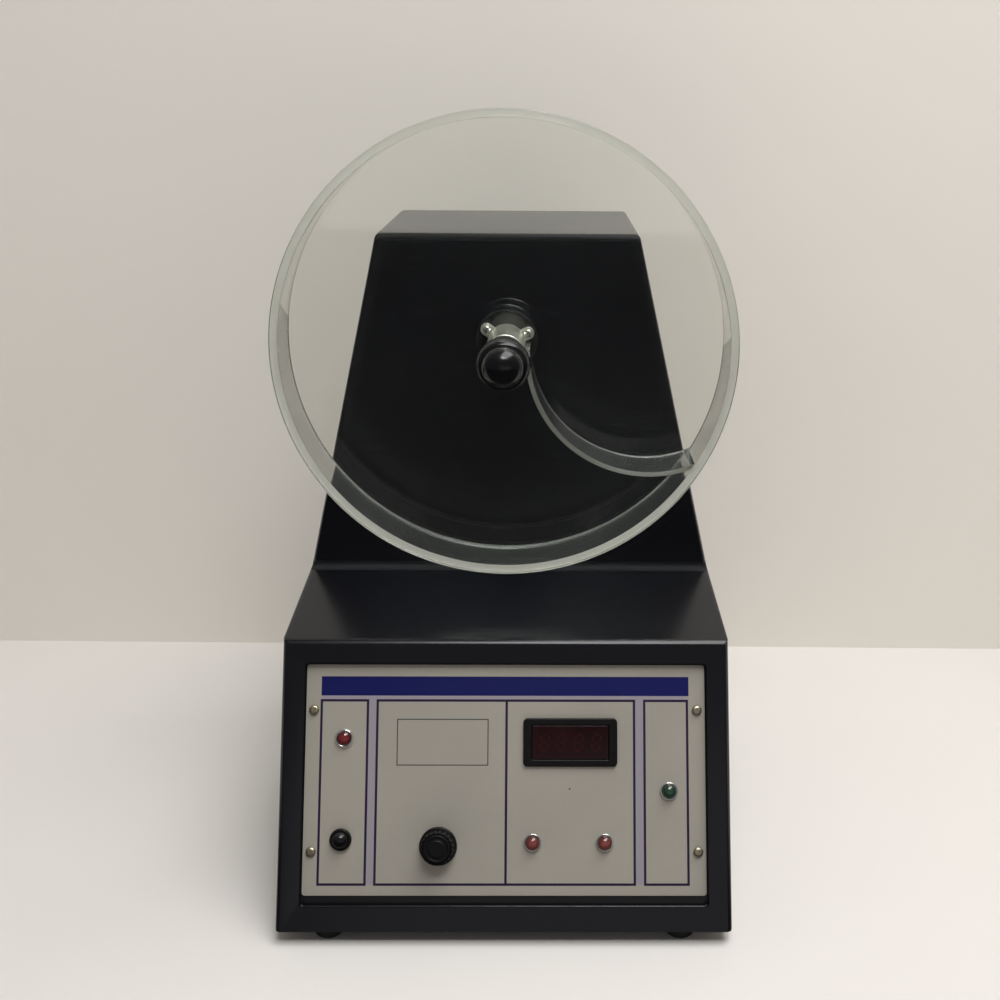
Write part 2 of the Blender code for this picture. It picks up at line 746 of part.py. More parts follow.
def base_opening_block():
    """The opening that the bottom flange leaves round the electronics."""
    front = CASE_FRONT_Y + BASE_FLANGE
    rear = CASE_REAR_Y - BASE_FLANGE
    half = BOX_WIDTH / 2 - BASE_FLANGE
    bottom = CASE_BOTTOM_Z - CUT_OVERRUN
    top = CASE_BOTTOM_Z + 2 * SHEET + CUT_OVERRUN
    return block_mesh(
        (2 * half, rear - front, top - bottom), (0, (front + rear) / 2, (top + bottom) / 2))


def board_place():
    """World X and Y of the main board's middle."""
    across, along = MAIN_BOARD_PLACE_SHARES
    return (across * BOX_WIDTH / 2, CASE_FRONT_Y + along * CASE_DEPTH)


def build_base_plate():
    """The floor, with the board's standoffs pressed into it."""
    plate = add_object("base_plate", base_plate_block(0), PARTS, bright_steel())
    floor = CASE_BOTTOM_Z + SHEET
    x, y = board_place()
    for side in (-1, 1):
        for end in (-1, 1):
            place = (
                x + side * (MAIN_BOARD_WIDTH / 2 - STANDOFF_INSET),
                y + end * (MAIN_BOARD_DEPTH / 2 - STANDOFF_INSET), 0)
            post = rod_mesh(
                STANDOFF_RADIUS, floor - SHEET / 2, floor + STANDOFF_HEIGHT, SCREW_SIDES)
            name = "standoff_%d_%d" % (side + 1, end + 1)
            join(plate, cutter(name, post, at=place))
    for name, (foot_x, foot_y) in foot_places().items():
        hole = rod_mesh(FOOT_SCREW_RADIUS + TOUCH_GAP, 0, FOOT_HEIGHT + FOOT_SCREW_LENGTH, SCREW_SIDES)
        cut(plate, cutter("base_foot_hole_" + name, hole, at=(foot_x, foot_y, 0)))
    return as_part(plate)


def build_feet():
    """Four round rubber feet, each on a screw that sits in its recess."""
    hole = FOOT_SCREW_RADIUS + TOUCH_GAP
    lower = FOOT_RADIUS - FOOT_TAPER
    head = FOOT_RECESS_DEPTH - TOUCH_GAP
    for name, (x, y) in foot_places().items():
        as_part(turned(
            "foot_" + name,
            [(hole, FOOT_HEIGHT), (FOOT_RADIUS, FOOT_HEIGHT), (FOOT_RADIUS, FOOT_HEIGHT / 2),
             (lower, EDGE_BREAK), (lower - EDGE_BREAK, 0), (FOOT_RECESS_RADIUS, 0),
             (FOOT_RECESS_RADIUS, FOOT_RECESS_DEPTH), (hole, FOOT_RECESS_DEPTH)],
            black_rubber(), None, (x, y, 0), BUTTON_SIDES, closed=True))
        as_part(turned(
            "foot_screw_" + name,
            [(0, head + FOOT_SCREW_LENGTH), (FOOT_SCREW_RADIUS, head + FOOT_SCREW_LENGTH),
             (FOOT_SCREW_RADIUS, head), (FOOT_SCREW_HEAD_RADIUS, head),
             (FOOT_SCREW_HEAD_RADIUS - EDGE_BREAK, head - FOOT_SCREW_HEAD_HEIGHT),
             (0, head - FOOT_SCREW_HEAD_HEIGHT)],
            bright_steel(), None, (x, y, 0), SCREW_SIDES))


def pan_head(radius, height, shank, length):
    """Open profile of a pan-head screw: the head stands on the plane at 0."""
    crown = math.pi / 6
    return [
        (0, height), (radius * math.sin(crown), height),
        (radius * math.cos(crown), height * PAN_SHOULDER_SHARE),
        (radius, 0), (shank, 0), (shank, -length), (0, -length)]


def panel_screw_places():
    """Places of the panel's four screws, in the middle of the ledge behind it."""
    across = (APERTURE_WIDTH - LEDGE) / 2
    places = {}
    for row, share in zip(("upper", "lower"), PANEL_SCREW_ROW_SHARES):
        height = PANEL_HEIGHT / 2 - share * PANEL_HEIGHT
        places[row + "_left"] = (-across, height, 0)
        places[row + "_right"] = (across, height, 0)
    return places


def build_panel(panel):
    """The printed control plate with its holes, and the screws that hold it."""
    size = (PANEL_WIDTH, PANEL_HEIGHT, PANEL_THICKNESS)
    plate = add_object(
        "control_panel", block_mesh(size, (0, 0, -PANEL_THICKNESS / 2)),
        PARTS, grey_panel(), panel)
    through = (-PANEL_THICKNESS - CUT_OVERRUN, CUT_OVERRUN)
    round_holes = {
        "lamp": (LAMP_PLACE_SHARES, LAMP_LENS_RADIUS + BUTTON_BODY_WALL),
        "mains": (MAINS_PLACE_SHARES, MAINS_BUTTON_RADIUS + BUTTON_BODY_WALL),
        "speed": (SPEED_PLACE_SHARES, POT_BUSH_RADIUS),
        "timer_left": (TIMER_LEFT_PLACE_SHARES, BUTTON_RADIUS + BUTTON_BODY_WALL),
        "timer_right": (TIMER_RIGHT_PLACE_SHARES, BUTTON_RADIUS + BUTTON_BODY_WALL),
        "start": (START_PLACE_SHARES, BUTTON_RADIUS + BUTTON_BODY_WALL)}
    for name, (shares, radius) in round_holes.items():
        tool = rod_mesh(radius + 2 * TOUCH_GAP, *through)
        cut(plate, cutter("panel_hole_" + name, tool, panel, panel_place(shares)))
    opening = rounded_rectangle(
        display_skirt_width() + 2 * TOUCH_GAP, display_skirt_height() + 2 * TOUCH_GAP,
        DISPLAY_CORNER - DISPLAY_SKIRT_INSET / 2)
    window = slab_mesh(opening, *through)
    cut(plate, cutter("panel_display_hole", window, panel, panel_place(DISPLAY_PLACE_SHARES)))
    for name, place in panel_screw_places().items():
        tool = rod_mesh(PANEL_SCREW_RADIUS + TOUCH_GAP, *through, SCREW_SIDES)
        cut(plate, cutter("panel_screw_hole_" + name, tool, panel, place))
        raised = (place[0], place[1], TOUCH_GAP)
        as_part(turned(
            "panel_screw_" + name,
            pan_head(PANEL_SCREW_HEAD_RADIUS, PANEL_SCREW_HEAD_HEIGHT,
                     PANEL_SCREW_RADIUS, PANEL_SCREW_LENGTH),
            bright_steel(), panel, raised, SCREW_SIDES))
    return as_part(plate)


def dome(radius, base, height, steps=4):
    """Half-ellipse from the axis at the top out to the full radius at its base."""
    quarter = math.pi / 2
    return [
        (radius * math.sin(quarter * step / steps),
         base + height * math.cos(quarter * step / steps))
        for step in range(steps + 1)]


def well_profile(collar, height, body, bore, well, back):
    """Closed body with a collar on the panel and a blind well for a moving button."""
    bottom = -PANEL_THICKNESS - back
    return [
        (0, -well), (bore, -well), (bore, height), (collar - EDGE_BREAK, height),
        (collar, height - EDGE_BREAK), (collar, TOUCH_GAP), (body, TOUCH_GAP),
        (body, bottom), (0, bottom)]


def build_button(panel, name, shares, cap_finish):
    """A push button: a sprung cap in the well of its collared switch body."""
    place = panel_place(shares)
    bore = BUTTON_RADIUS + TOUCH_GAP
    well = BUTTON_STEM + BUTTON_TRAVEL + RUNNING_GAP
    body = turned(
        name + "_switch",
        well_profile(BUTTON_COLLAR_RADIUS, BUTTON_COLLAR_HEIGHT, bore + BUTTON_BODY_WALL,
                     bore, well, BUTTON_BODY_LENGTH),
        satin_aluminium(), panel, place, BUTTON_SIDES)
    as_part(body)
    crown = BUTTON_PROUD / 2
    cap = turned(
        name + "_button",
        dome(BUTTON_RADIUS, crown, BUTTON_PROUD - crown) + [
            (BUTTON_RADIUS, -BUTTON_STEM), (0, -BUTTON_STEM)],
        cap_finish, panel, place, BUTTON_SIDES)
    as_part(cap)


def build_mains_switch(panel):
    """The black mains switch: a round collar and a domed push button."""
    place = panel_place(MAINS_PLACE_SHARES)
    bore = MAINS_BUTTON_RADIUS + TOUCH_GAP
    well = BUTTON_STEM + BUTTON_TRAVEL + RUNNING_GAP
    as_part(turned(
        "mains_switch",
        well_profile(MAINS_COLLAR_RADIUS, MAINS_COLLAR_HEIGHT, bore + BUTTON_BODY_WALL,
                     bore, well, MAINS_BODY_LENGTH),
        black_plastic(), panel, place, BUTTON_SIDES))
    crown = MAINS_BUTTON_PROUD / 2
    as_part(turned(
        "mains_button",
        dome(MAINS_BUTTON_RADIUS, crown, MAINS_BUTTON_PROUD - crown) + [
            (MAINS_BUTTON_RADIUS, -BUTTON_STEM), (0, -BUTTON_STEM)],
        black_plastic(), panel, place, BUTTON_SIDES))


def build_lamp(panel):
    """The power lamp: a domed red lens held in a metal bezel."""
    place = panel_place(LAMP_PLACE_SHARES)
    bore = LAMP_LENS_RADIUS + TOUCH_GAP
    well = PANEL_THICKNESS
    as_part(turned(
        "power_lamp_bezel",
        well_profile(LAMP_BEZEL_RADIUS, LAMP_BEZEL_HEIGHT, bore + BUTTON_BODY_WALL,
                     bore, well, LAMP_BODY_LENGTH),
        satin_aluminium(), panel, place, BUTTON_SIDES))
    crown = LAMP_BEZEL_HEIGHT
    foot = TOUCH_GAP - well
    as_part(turned(
        "power_lamp_lens",
        dome(LAMP_LENS_RADIUS, crown, LAMP_LENS_PROUD - crown) + [
            (LAMP_LENS_RADIUS, foot), (0, foot)],
        red_plastic(), panel, place, BUTTON_SIDES))


def fluted_outline(radius, depth, count, steps=3):
    """Round outline with evenly spaced scallops."""
    total = count * steps
    points = []
    for step in range(total):
        angle = math.tau * step / total
        reach = radius - depth * (1 - math.cos(math.tau * step / steps)) / 2
        points.append((reach * math.cos(angle), reach * math.sin(angle)))
    return points


def build_speed_knob(panel):
    """Fluted speed knob on the shaft of the potentiometer behind the panel."""
    place = panel_place(SPEED_PLACE_SHARES)
    spindle = frame_on_panel("speed_axis", panel, place)
    base = RUNNING_GAP
    grip_top = base + SPEED_KNOB_SKIRT + SPEED_KNOB_GRIP
    top = grip_top + SPEED_KNOB_CAP
    knob = turned(
        "speed_knob",
        [(0, top), (SPEED_KNOB_CAP_RADIUS - EDGE_BREAK, top),
         (SPEED_KNOB_CAP_RADIUS, top - EDGE_BREAK),
         (SPEED_KNOB_CAP_RADIUS, base + SPEED_KNOB_SKIRT / 2),
         (0, base + SPEED_KNOB_SKIRT / 2)],
        black_plastic(), spindle)
    grip = slab_mesh(
        fluted_outline(SPEED_KNOB_GRIP_RADIUS, FLUTE_DEPTH, FLUTE_COUNT),
        base + SPEED_KNOB_SKIRT * 2 / 3, grip_top)
    join(knob, cutter("speed_knob_grip", grip, spindle))
    skirt = cutter("speed_knob_skirt", profile_mesh(
        [(0, base + SPEED_KNOB_SKIRT), (SPEED_KNOB_GRIP_RADIUS + EDGE_BREAK, base + SPEED_KNOB_SKIRT),
         (SPEED_KNOB_RADIUS, base + SPEED_KNOB_SKIRT / 2), (SPEED_KNOB_RADIUS, base), (0, base)],
        False), spindle)
    turn_profile(skirt, HUB_SIDES)
    join(knob, skirt)
    hollow = rod_mesh(SPEED_KNOB_HOLLOW_RADIUS, 0, base + SPEED_KNOB_HOLLOW_DEPTH)
    cut(knob, cutter("speed_knob_hollow", hollow, spindle))
    bore = rod_mesh(
        POT_SHAFT_RADIUS + TOUCH_GAP, 0, base + POT_SHAFT_PROUD + TOUCH_GAP)
    cut(knob, cutter("speed_knob_bore", bore, spindle))
    as_part(knob)

    back = -PANEL_THICKNESS - TOUCH_GAP
    bush = POT_SHAFT_RADIUS + TOUCH_GAP
    as_part(turned(
        "speed_pot",
        [(0, back - POT_LENGTH / 2), (bush, back - POT_LENGTH / 2), (bush, POT_BUSH_PROUD),
         (POT_BUSH_RADIUS, POT_BUSH_PROUD), (POT_BUSH_RADIUS, back), (POT_RADIUS, back),
         (POT_RADIUS, back - POT_LENGTH), (0, back - POT_LENGTH)],
        satin_aluminium(), panel, place, BUTTON_SIDES))
    low = back - POT_LENGTH / 2 + TOUCH_GAP
    high = base + POT_SHAFT_PROUD
    shaft = add_object(
        "pot_shaft", rod_mesh(POT_SHAFT_RADIUS, low, high), PARTS, bright_steel(), spindle)
    as_part(shaft)


def frame_on_panel(name, panel, place):
    """Empty on the panel that shares its directions."""
    empty = add_object(name, None, PARTS, parent=panel, at=place)
    empty.empty_display_size = FOOT_HEIGHT
    return empty


def display_skirt_width():
    return DISPLAY_WIDTH - 2 * DISPLAY_SKIRT_INSET


def display_skirt_height():
    return DISPLAY_HEIGHT - 2 * DISPLAY_SKIRT_INSET


def build_display(panel):
    """The timer's display: bezel through the panel, dark red window and its board."""
    place = panel_place(DISPLAY_PLACE_SHARES)
    bezel = add_object(
        "display_bezel",
        slab_mesh(rounded_rectangle(DISPLAY_WIDTH, DISPLAY_HEIGHT, DISPLAY_CORNER),
                  TOUCH_GAP, DISPLAY_PROUD),
        PARTS, black_plastic(), panel, place)
    round_edges(bezel, EDGE_BREAK)
    skirt_corner = DISPLAY_CORNER - DISPLAY_SKIRT_INSET / 2
    skirt = slab_mesh(
        rounded_rectangle(display_skirt_width(), display_skirt_height(), skirt_corner),
        -DISPLAY_SKIRT_DEPTH, DISPLAY_PROUD / 2)
    join(bezel, cutter("display_skirt", skirt, panel, place))
    seat = block_mesh(
        (WINDOW_WIDTH + 2 * TOUCH_GAP, WINDOW_HEIGHT + 2 * TOUCH_GAP,
         WINDOW_SEAT + CUT_OVERRUN),
        (0, 0, DISPLAY_PROUD + (CUT_OVERRUN - WINDOW_SEAT) / 2))
    cut(bezel, cutter("window_seat", seat, panel, place))
    hollow_width = WINDOW_WIDTH - 2 * EDGE_BREAK
    hollow_height = WINDOW_HEIGHT - 2 * EDGE_BREAK
    hollow = block_mesh(
        (hollow_width, hollow_height, 2 * (DISPLAY_SKIRT_DEPTH + CUT_OVERRUN)))
    cut(bezel, cutter("display_hollow", hollow, panel, place))
    as_part(bezel)

    window_back = DISPLAY_PROUD - WINDOW_SEAT + TOUCH_GAP
    window_thickness = WINDOW_SEAT - 2 * TOUCH_GAP
    window = add_object(
        "display_window",
        block_mesh((WINDOW_WIDTH, WINDOW_HEIGHT, window_thickness),
                   (0, 0, window_back + window_thickness / 2)),
        PARTS, dark_red_window(), panel, place)
    as_part(window)

    board_front = -DISPLAY_SKIRT_DEPTH - TOUCH_GAP
    board = add_object(
        "display_board",
        block_mesh((DISPLAY_WIDTH + DISPLAY_BOARD_MARGIN, DISPLAY_HEIGHT + DISPLAY_BOARD_MARGIN,
                    BOARD_THICKNESS), (0, 0, board_front - BOARD_THICKNESS / 2)),
        PARTS, green_board(), panel, place)
    digits_front = window_back - DIGIT_BLOCK_GAP
    digits_back = board_front - BOARD_THICKNESS / 2
    digits = block_mesh(
        (DIGIT_BLOCK_WIDTH, DIGIT_BLOCK_HEIGHT, digits_front - digits_back),
        (0, 0, (digits_front + digits_back) / 2))
    join(board, cutter("digit_block", digits, panel, place))
    as_part(board)


def lobed_outline(ring, ear, circle, count, first):
    """A ring's outline with evenly spaced straight-sided ears that end in an arc."""
    half = math.asin(ear / ring)
    pitch = math.tau / count
    points = []
    for index in range(count):
        middle = first + index * pitch
        across = middle - math.pi / 2
        centre = (circle * math.cos(middle), circle * math.sin(middle))
        points += arc(centre, ear, across, across + math.pi, 6)
        points += arc((0, 0), ring, middle + half, middle + pitch - half, 3)
    return points


def ear_places():
    """Centres of the ears' screws about the drum's axis."""
    pitch = math.tau / EAR_COUNT
    angles = [FIRST_EAR_ANGLE + index * pitch for index in range(EAR_COUNT)]
    return [
        (EAR_CIRCLE_RADIUS * math.cos(a), EAR_CIRCLE_RADIUS * math.sin(a)) for a in angles]


def cut_screw_circle(target, axis, front, back):
    """Clearance holes for the hub screws between two depths."""
    for index, (x, y) in enumerate(ear_places()):
        tool = rod_mesh(HUB_SCREW_HOLE_RADIUS, -back, -front, SCREW_SIDES)
        name = "%s_screw_hole_%d" % (target.name, index + 1)
        cut(target, cutter(name, tool, axis, (x, y, 0)))


def build_drum(axis):
    """The clear drum: rear plate, rim, curved baffle and removable cover."""
    rear = turned(
        "drum_rear_plate",
        ring_profile(DRUM_RADIUS, SHAFT_HOLE_RADIUS, -REAR_PLATE_FRONT, -REAR_PLATE_BACK),
        clear_acrylic(), axis, steps=DRUM_SIDES, closed=True)
    cut_screw_circle(
        rear, axis, REAR_PLATE_FRONT - CUT_OVERRUN, REAR_PLATE_BACK + CUT_OVERRUN)
    as_part(rear)
    as_part(turned(
        "drum_rim",
        ring_profile(DRUM_RADIUS, BORE_RADIUS, -RIM_FRONT, TOUCH_GAP - REAR_PLATE_FRONT),
        clear_acrylic(), axis, steps=DRUM_SIDES, closed=True))
    as_part(turned(
        "drum_cover",
        ring_profile(DRUM_RADIUS, THREAD_DIAMETER / 2 + TOUCH_GAP, 0, -PLATE_THICKNESS),
        clear_acrylic(), axis, steps=DRUM_SIDES, closed=True))
    build_baffle(axis)


def build_baffle(axis):
    """The curved sheet from the central ring to the drum's wall.

    Its arc is tangent to the ring beside the axis and runs down and outwards until
    the drum's bore cuts it off.
    """
    convex = BAFFLE_INSIDE_RADIUS + BAFFLE_THICKNESS
    centre = (RING_RADIUS + TOUCH_GAP + convex, 0)
    reach = BORE_RADIUS + DRUM_WALL / 2
    # Cosine rule: where the convex face passes a circle just outside the bore
    swing = math.acos((centre[0] ** 2 + convex ** 2 - reach ** 2) / (2 * centre[0] * convex))
    start = math.pi
    end = math.pi + swing
    outline = arc(centre, convex, start, end, 30)
    outline += reversed(arc(centre, BAFFLE_INSIDE_RADIUS, start, end, 30))
    sheet = slab_mesh(outline, TOUCH_GAP - REAR_PLATE_FRONT, -RIM_FRONT)
    baffle = add_object("drum_baffle", sheet, PARTS, clear_acrylic(), axis)
    bore = rod_mesh(BORE_RADIUS - TOUCH_GAP, -DRUM_LENGTH, CUT_OVERRUN, DRUM_SIDES)
    keep_within(baffle, cutter("baffle_limit", bore, axis))
    as_part(baffle)


def build_hub(axis):
    """The central ring with three ears, screwed through the rear plate."""
    back = TOUCH_GAP - REAR_PLATE_FRONT
    front = -RIM_FRONT
    spare = EAR_THICKNESS
    ring = turned(
        "hub_ring",
        [(0, front), (RING_RADIUS - EDGE_BREAK, front), (RING_RADIUS, front - EDGE_BREAK),
         (RING_RADIUS, back - 2 * spare), (0, back - 2 * spare)],
        satin_aluminium(), axis)
    root = (RING_RADIUS + SHAFT_HOLE_RADIUS) / 2
    ears = slab_mesh(
        lobed_outline(root, EAR_RADIUS, EAR_CIRCLE_RADIUS, EAR_COUNT, FIRST_EAR_ANGLE),
        back - spare, back + EAR_THICKNESS)
    join(ring, cutter("hub_ears", ears, axis))
    # One cut faces the ring's and the ears' backs together
    facing = rod_mesh(2 * EAR_CIRCLE_RADIUS, back - CUT_OVERRUN - 2 * spare, back)
    cut(ring, cutter("hub_facing", facing, axis))
    bore = rod_mesh(SHAFT_HOLE_RADIUS, back - CUT_OVERRUN, CUT_OVERRUN, HUB_SIDES)
    cut(ring, cutter("hub_bore", bore, axis))
    cut_screw_circle(ring, axis, -back - EAR_THICKNESS - CUT_OVERRUN, -back + CUT_OVERRUN)
    as_part(ring)
    seat = back + EAR_THICKNESS + TOUCH_GAP
    for index, (x, y) in enumerate(ear_places()):
        as_part(turned(
            "hub_screw_%d" % (index + 1),
            pan_head(HUB_SCREW_HEAD_RADIUS, HUB_SCREW_HEAD_HEIGHT,
                     HUB_SCREW_RADIUS, HUB_SCREW_LENGTH),
            bright_steel(), axis, (x, y, seat), SCREW_SIDES))


def build_cover_knob(axis):
    """The black knob that clamps the cover: neck, broad rim and dome, with a blind bore."""
    neck_back = TOUCH_GAP
    rim_back = neck_back + KNOB_NECK_LENGTH
    rim_front = rim_back + KNOB_RIM_LENGTH
    top = rim_front + KNOB_DOME_HEIGHT
    fillet = KNOB_RIM_LENGTH / 4
    bore = THREAD_DIAMETER / 2 + TOUCH_GAP
    depth = THREAD_LENGTH + RUNNING_GAP
    profile = dome(KNOB_DOME_RADIUS, rim_front, top - rim_front, 6)
    rim_centre = (KNOB_RIM_RADIUS - fillet, rim_front - fillet)
    profile += arc(rim_centre, fillet, math.pi / 2, 0, 3)
    profile += [
        (KNOB_RIM_RADIUS, rim_back + fillet), (KNOB_RIM_RADIUS - fillet, rim_back),
        (KNOB_NECK_RADIUS, rim_back), (KNOB_NECK_RADIUS, neck_back + EDGE_BREAK),
        (KNOB_NECK_RADIUS - EDGE_BREAK, neck_back), (bore, neck_back),
        (bore, depth), (0, depth)]
    as_part(turned("cover_knob", profile, black_plastic(), axis))


def build_drive(axis):
    """Shaft, flange, bearings, coupling, gearbox, motor and the bracket they hang on."""
    thread = THREAD_DIAMETER / 2
    as_part(turned(
        "drive_shaft",
        [(0, THREAD_LENGTH), (thread - EDGE_BREAK, THREAD_LENGTH),
         (thread, THREAD_LENGTH - EDGE_BREAK), (thread, -RIM_FRONT),
         (SHAFT_RADIUS, -RIM_FRONT), (SHAFT_RADIUS, -SHAFT_BACK), (0, -SHAFT_BACK)],
        bright_steel(), axis))

    flange_back = DRIVE_FLANGE_FRONT + DRIVE_FLANGE_THICKNESS
    hub_back = NOSE_FRONT - RUNNING_GAP
    flange = turned(
        "drive_flange",
        [(SHAFT_HOLE_RADIUS, -DRIVE_FLANGE_FRONT), (DRIVE_FLANGE_RADIUS, -DRIVE_FLANGE_FRONT),
         (DRIVE_FLANGE_RADIUS, -flange_back), (DRIVE_HUB_RADIUS, -flange_back),
         (DRIVE_HUB_RADIUS, -hub_back), (SHAFT_HOLE_RADIUS, -hub_back)],
        black_paint(), axis, closed=True)
    cut_screw_circle(
        flange, axis, DRIVE_FLANGE_FRONT - CUT_OVERRUN, flange_back + CUT_OVERRUN)
    as_part(flange)

    build_bearings(axis)

    coupling_middle = (SHAFT_BACK + GEARBOX_FRONT - GEARBOX_SHAFT_LENGTH) / 2
    coupling_front = coupling_middle - COUPLING_LENGTH / 2
    coupling_back = coupling_middle + COUPLING_LENGTH / 2
    small_bore = GEARBOX_SHAFT_DIAMETER / 2 + TOUCH_GAP
    as_part(turned(
        "shaft_coupling",
        [(SHAFT_HOLE_RADIUS, -coupling_front), (COUPLING_RADIUS - EDGE_BREAK, -coupling_front),
         (COUPLING_RADIUS, -coupling_front - EDGE_BREAK),
         (COUPLING_RADIUS, -coupling_back + EDGE_BREAK),
         (COUPLING_RADIUS - EDGE_BREAK, -coupling_back), (small_bore, -coupling_back),
         (small_bore, -coupling_middle), (SHAFT_HOLE_RADIUS, -coupling_middle)],
        satin_aluminium(), axis, steps=BUTTON_SIDES, closed=True))
    build_gear_motor(axis)
    build_bracket()


def build_bearings(axis):
    """Flanged bearing barrel through the tower wall, its ring nut and two ball bearings."""
    seat = BEARING_DIAMETER / 2
    shoulder = seat - BEARING_SHOULDER
    front_seat = NOSE_FRONT + RUNNING_GAP + BEARING_WIDTH
    rear_seat = BARREL_BACK - RUNNING_GAP - BEARING_WIDTH
    collar = BARREL_RADIUS + COLLAR_WIDTH
    collar_back = TOWER_FACE - TOUCH_GAP
    collar_front = collar_back - COLLAR_LENGTH
    as_part(turned(
        "bearing_housing",
        [(seat, -NOSE_FRONT), (BARREL_RADIUS - EDGE_BREAK, -NOSE_FRONT),
         (BARREL_RADIUS, -NOSE_FRONT - EDGE_BREAK), (BARREL_RADIUS, -collar_front),
         (collar, -collar_front), (collar, -collar_back), (BARREL_RADIUS, -collar_back),
         (BARREL_RADIUS, -BARREL_BACK), (seat, -BARREL_BACK), (seat, -rear_seat),
         (shoulder, -rear_seat), (shoulder, -front_seat), (seat, -front_seat)],
        black_paint(), axis, closed=True))
    nut_front = TOWER_INSIDE + TOUCH_GAP
    as_part(turned(
        "bearing_ring_nut",
        ring_profile(BARREL_RADIUS + RING_NUT_WIDTH, BARREL_RADIUS + TOUCH_GAP,
                     -nut_front, -nut_front - RING_NUT_LENGTH),
        bright_steel(), axis, closed=True))
    outer = seat - TOUCH_GAP
    inner = SHAFT_HOLE_RADIUS
    groove = BEARING_FACE_GROOVE
    fronts = {
        "bearing_front": front_seat - TOUCH_GAP - BEARING_WIDTH,
        "bearing_rear": rear_seat + TOUCH_GAP}
    for name, front in fronts.items():
        back = front + BEARING_WIDTH
        as_part(turned(
            name,
            [(inner, -front), (inner + BEARING_RACE, -front),
             (inner + BEARING_RACE, -front - groove), (outer - BEARING_RACE, -front - groove),
             (outer - BEARING_RACE, -front), (outer, -front), (outer, -back),
             (outer - BEARING_RACE, -back), (outer - BEARING_RACE, -back + groove),
             (inner + BEARING_RACE, -back + groove), (inner + BEARING_RACE, -back),
             (inner, -back)],
            bright_steel(), axis, steps=BUTTON_SIDES, closed=True))


def build_gear_motor(axis):
    """Round gear motor behind the bracket, with its output shaft in the coupling."""
    shaft = GEARBOX_SHAFT_DIAMETER / 2
    bore = shaft + TOUCH_GAP
    pilot_front = GEARBOX_FRONT - GEARBOX_PILOT_LENGTH
    well = GEARBOX_FRONT + GEARBOX_LENGTH / 2
    band = GEARBOX_LENGTH / 6
    outer = GEARBOX_RADIUS
    inner = GEARBOX_RADIUS - GEARBOX_BAND
    as_part(turned(
        "gearbox",
        [(0, -well), (bore, -well), (bore, -pilot_front), (GEARBOX_PILOT_RADIUS, -pilot_front),
         (GEARBOX_PILOT_RADIUS, -GEARBOX_FRONT), (outer, -GEARBOX_FRONT),
         (outer, -GEARBOX_FRONT - band), (inner, -GEARBOX_FRONT - band),
         (inner, -GEARBOX_BACK + band), (outer, -GEARBOX_BACK + band),
         (outer, -GEARBOX_BACK), (0, -GEARBOX_BACK)],
        grey_core(), axis, steps=BUTTON_SIDES))
    stub = add_object(
        "gearbox_shaft",
        rod_mesh(shaft, TOUCH_GAP - well, GEARBOX_SHAFT_LENGTH - RUNNING_GAP - GEARBOX_FRONT),
        PARTS, bright_steel(), axis)
    as_part(stub)
    back = MOTOR_FRONT + MOTOR_LENGTH
    fillet = GEARBOX_BAND * 2
    as_part(turned(
        "motor",
        [(0, -MOTOR_FRONT), (MOTOR_RADIUS, -MOTOR_FRONT), (MOTOR_RADIUS, fillet - back),
         (MOTOR_RADIUS - fillet, -back), (MOTOR_CAP_RADIUS, -back),
         (MOTOR_CAP_RADIUS, -back - MOTOR_CAP_LENGTH), (0, -back - MOTOR_CAP_LENGTH)],
        black_paint(), axis, steps=BUTTON_SIDES))


def build_bracket():
    """Hat-shaped bracket from the tower's wall to the gearbox, folded from strip."""
    half = BRACKET_WIDTH / 2
    foot = half + BRACKET_FOOT
    inner = half - BRACKET_SHEET
    front = TOWER_INNER_Y + TOUCH_GAP
    back = front + BRACKET_DEPTH
    outline = [
        (-foot, front), (-inner, front), (-inner, back - BRACKET_SHEET),
        (inner, back - BRACKET_SHEET), (inner, front), (foot, front),
        (foot, front + BRACKET_SHEET), (half, front + BRACKET_SHEET), (half, back),
        (-half, back), (-half, front + BRACKET_SHEET), (-foot, front + BRACKET_SHEET)]
    strip = slab_mesh(outline, AXIS_Z - BRACKET_HEIGHT / 2, AXIS_Z + BRACKET_HEIGHT / 2)
    bracket = add_object("motor_bracket", strip, PARTS, bright_steel())
    hole = rod_mesh(
        GEARBOX_PILOT_RADIUS + TOUCH_GAP, -CUT_OVERRUN, BRACKET_SHEET + CUT_OVERRUN, HUB_SIDES)
    cut(bracket, cutter(
        "bracket_hole", hole, at=(0, back, AXIS_Z), turn=(math.pi / 2, 0, 0)))
    as_part(bracket)


def cover_screw_places():
    """World X and Z of the rear cover's screws, in the middle of the rear flange."""
    ring = inset_outline(case_front_outline(CASE_BOTTOM_Z), REAR_FLANGE / 2)
    return {
        "lower_left": ring[0], "lower_right": ring[1],
        "upper_right": ring[3], "upper_left": ring[4]}


def cover_screw_hole(x, z):
    """Clearance hole through the rear flange and cover."""
    sides = arc((x, z), COVER_SCREW_RADIUS + TOUCH_GAP, 0, math.tau, SCREW_SIDES)[:-1]
    return front_slab(
        sides, CASE_REAR_Y - COVER_SCREW_LENGTH, CASE_REAR_Y + SHEET + CUT_OVERRUN)


def back_place(shares):
    """World X and Z of a place on the rear cover."""
    across, up = shares
    return (across * BOX_WIDTH / 2, CASE_BOTTOM_Z + up * (TOWER_TOP_Z - CASE_BOTTOM_Z))


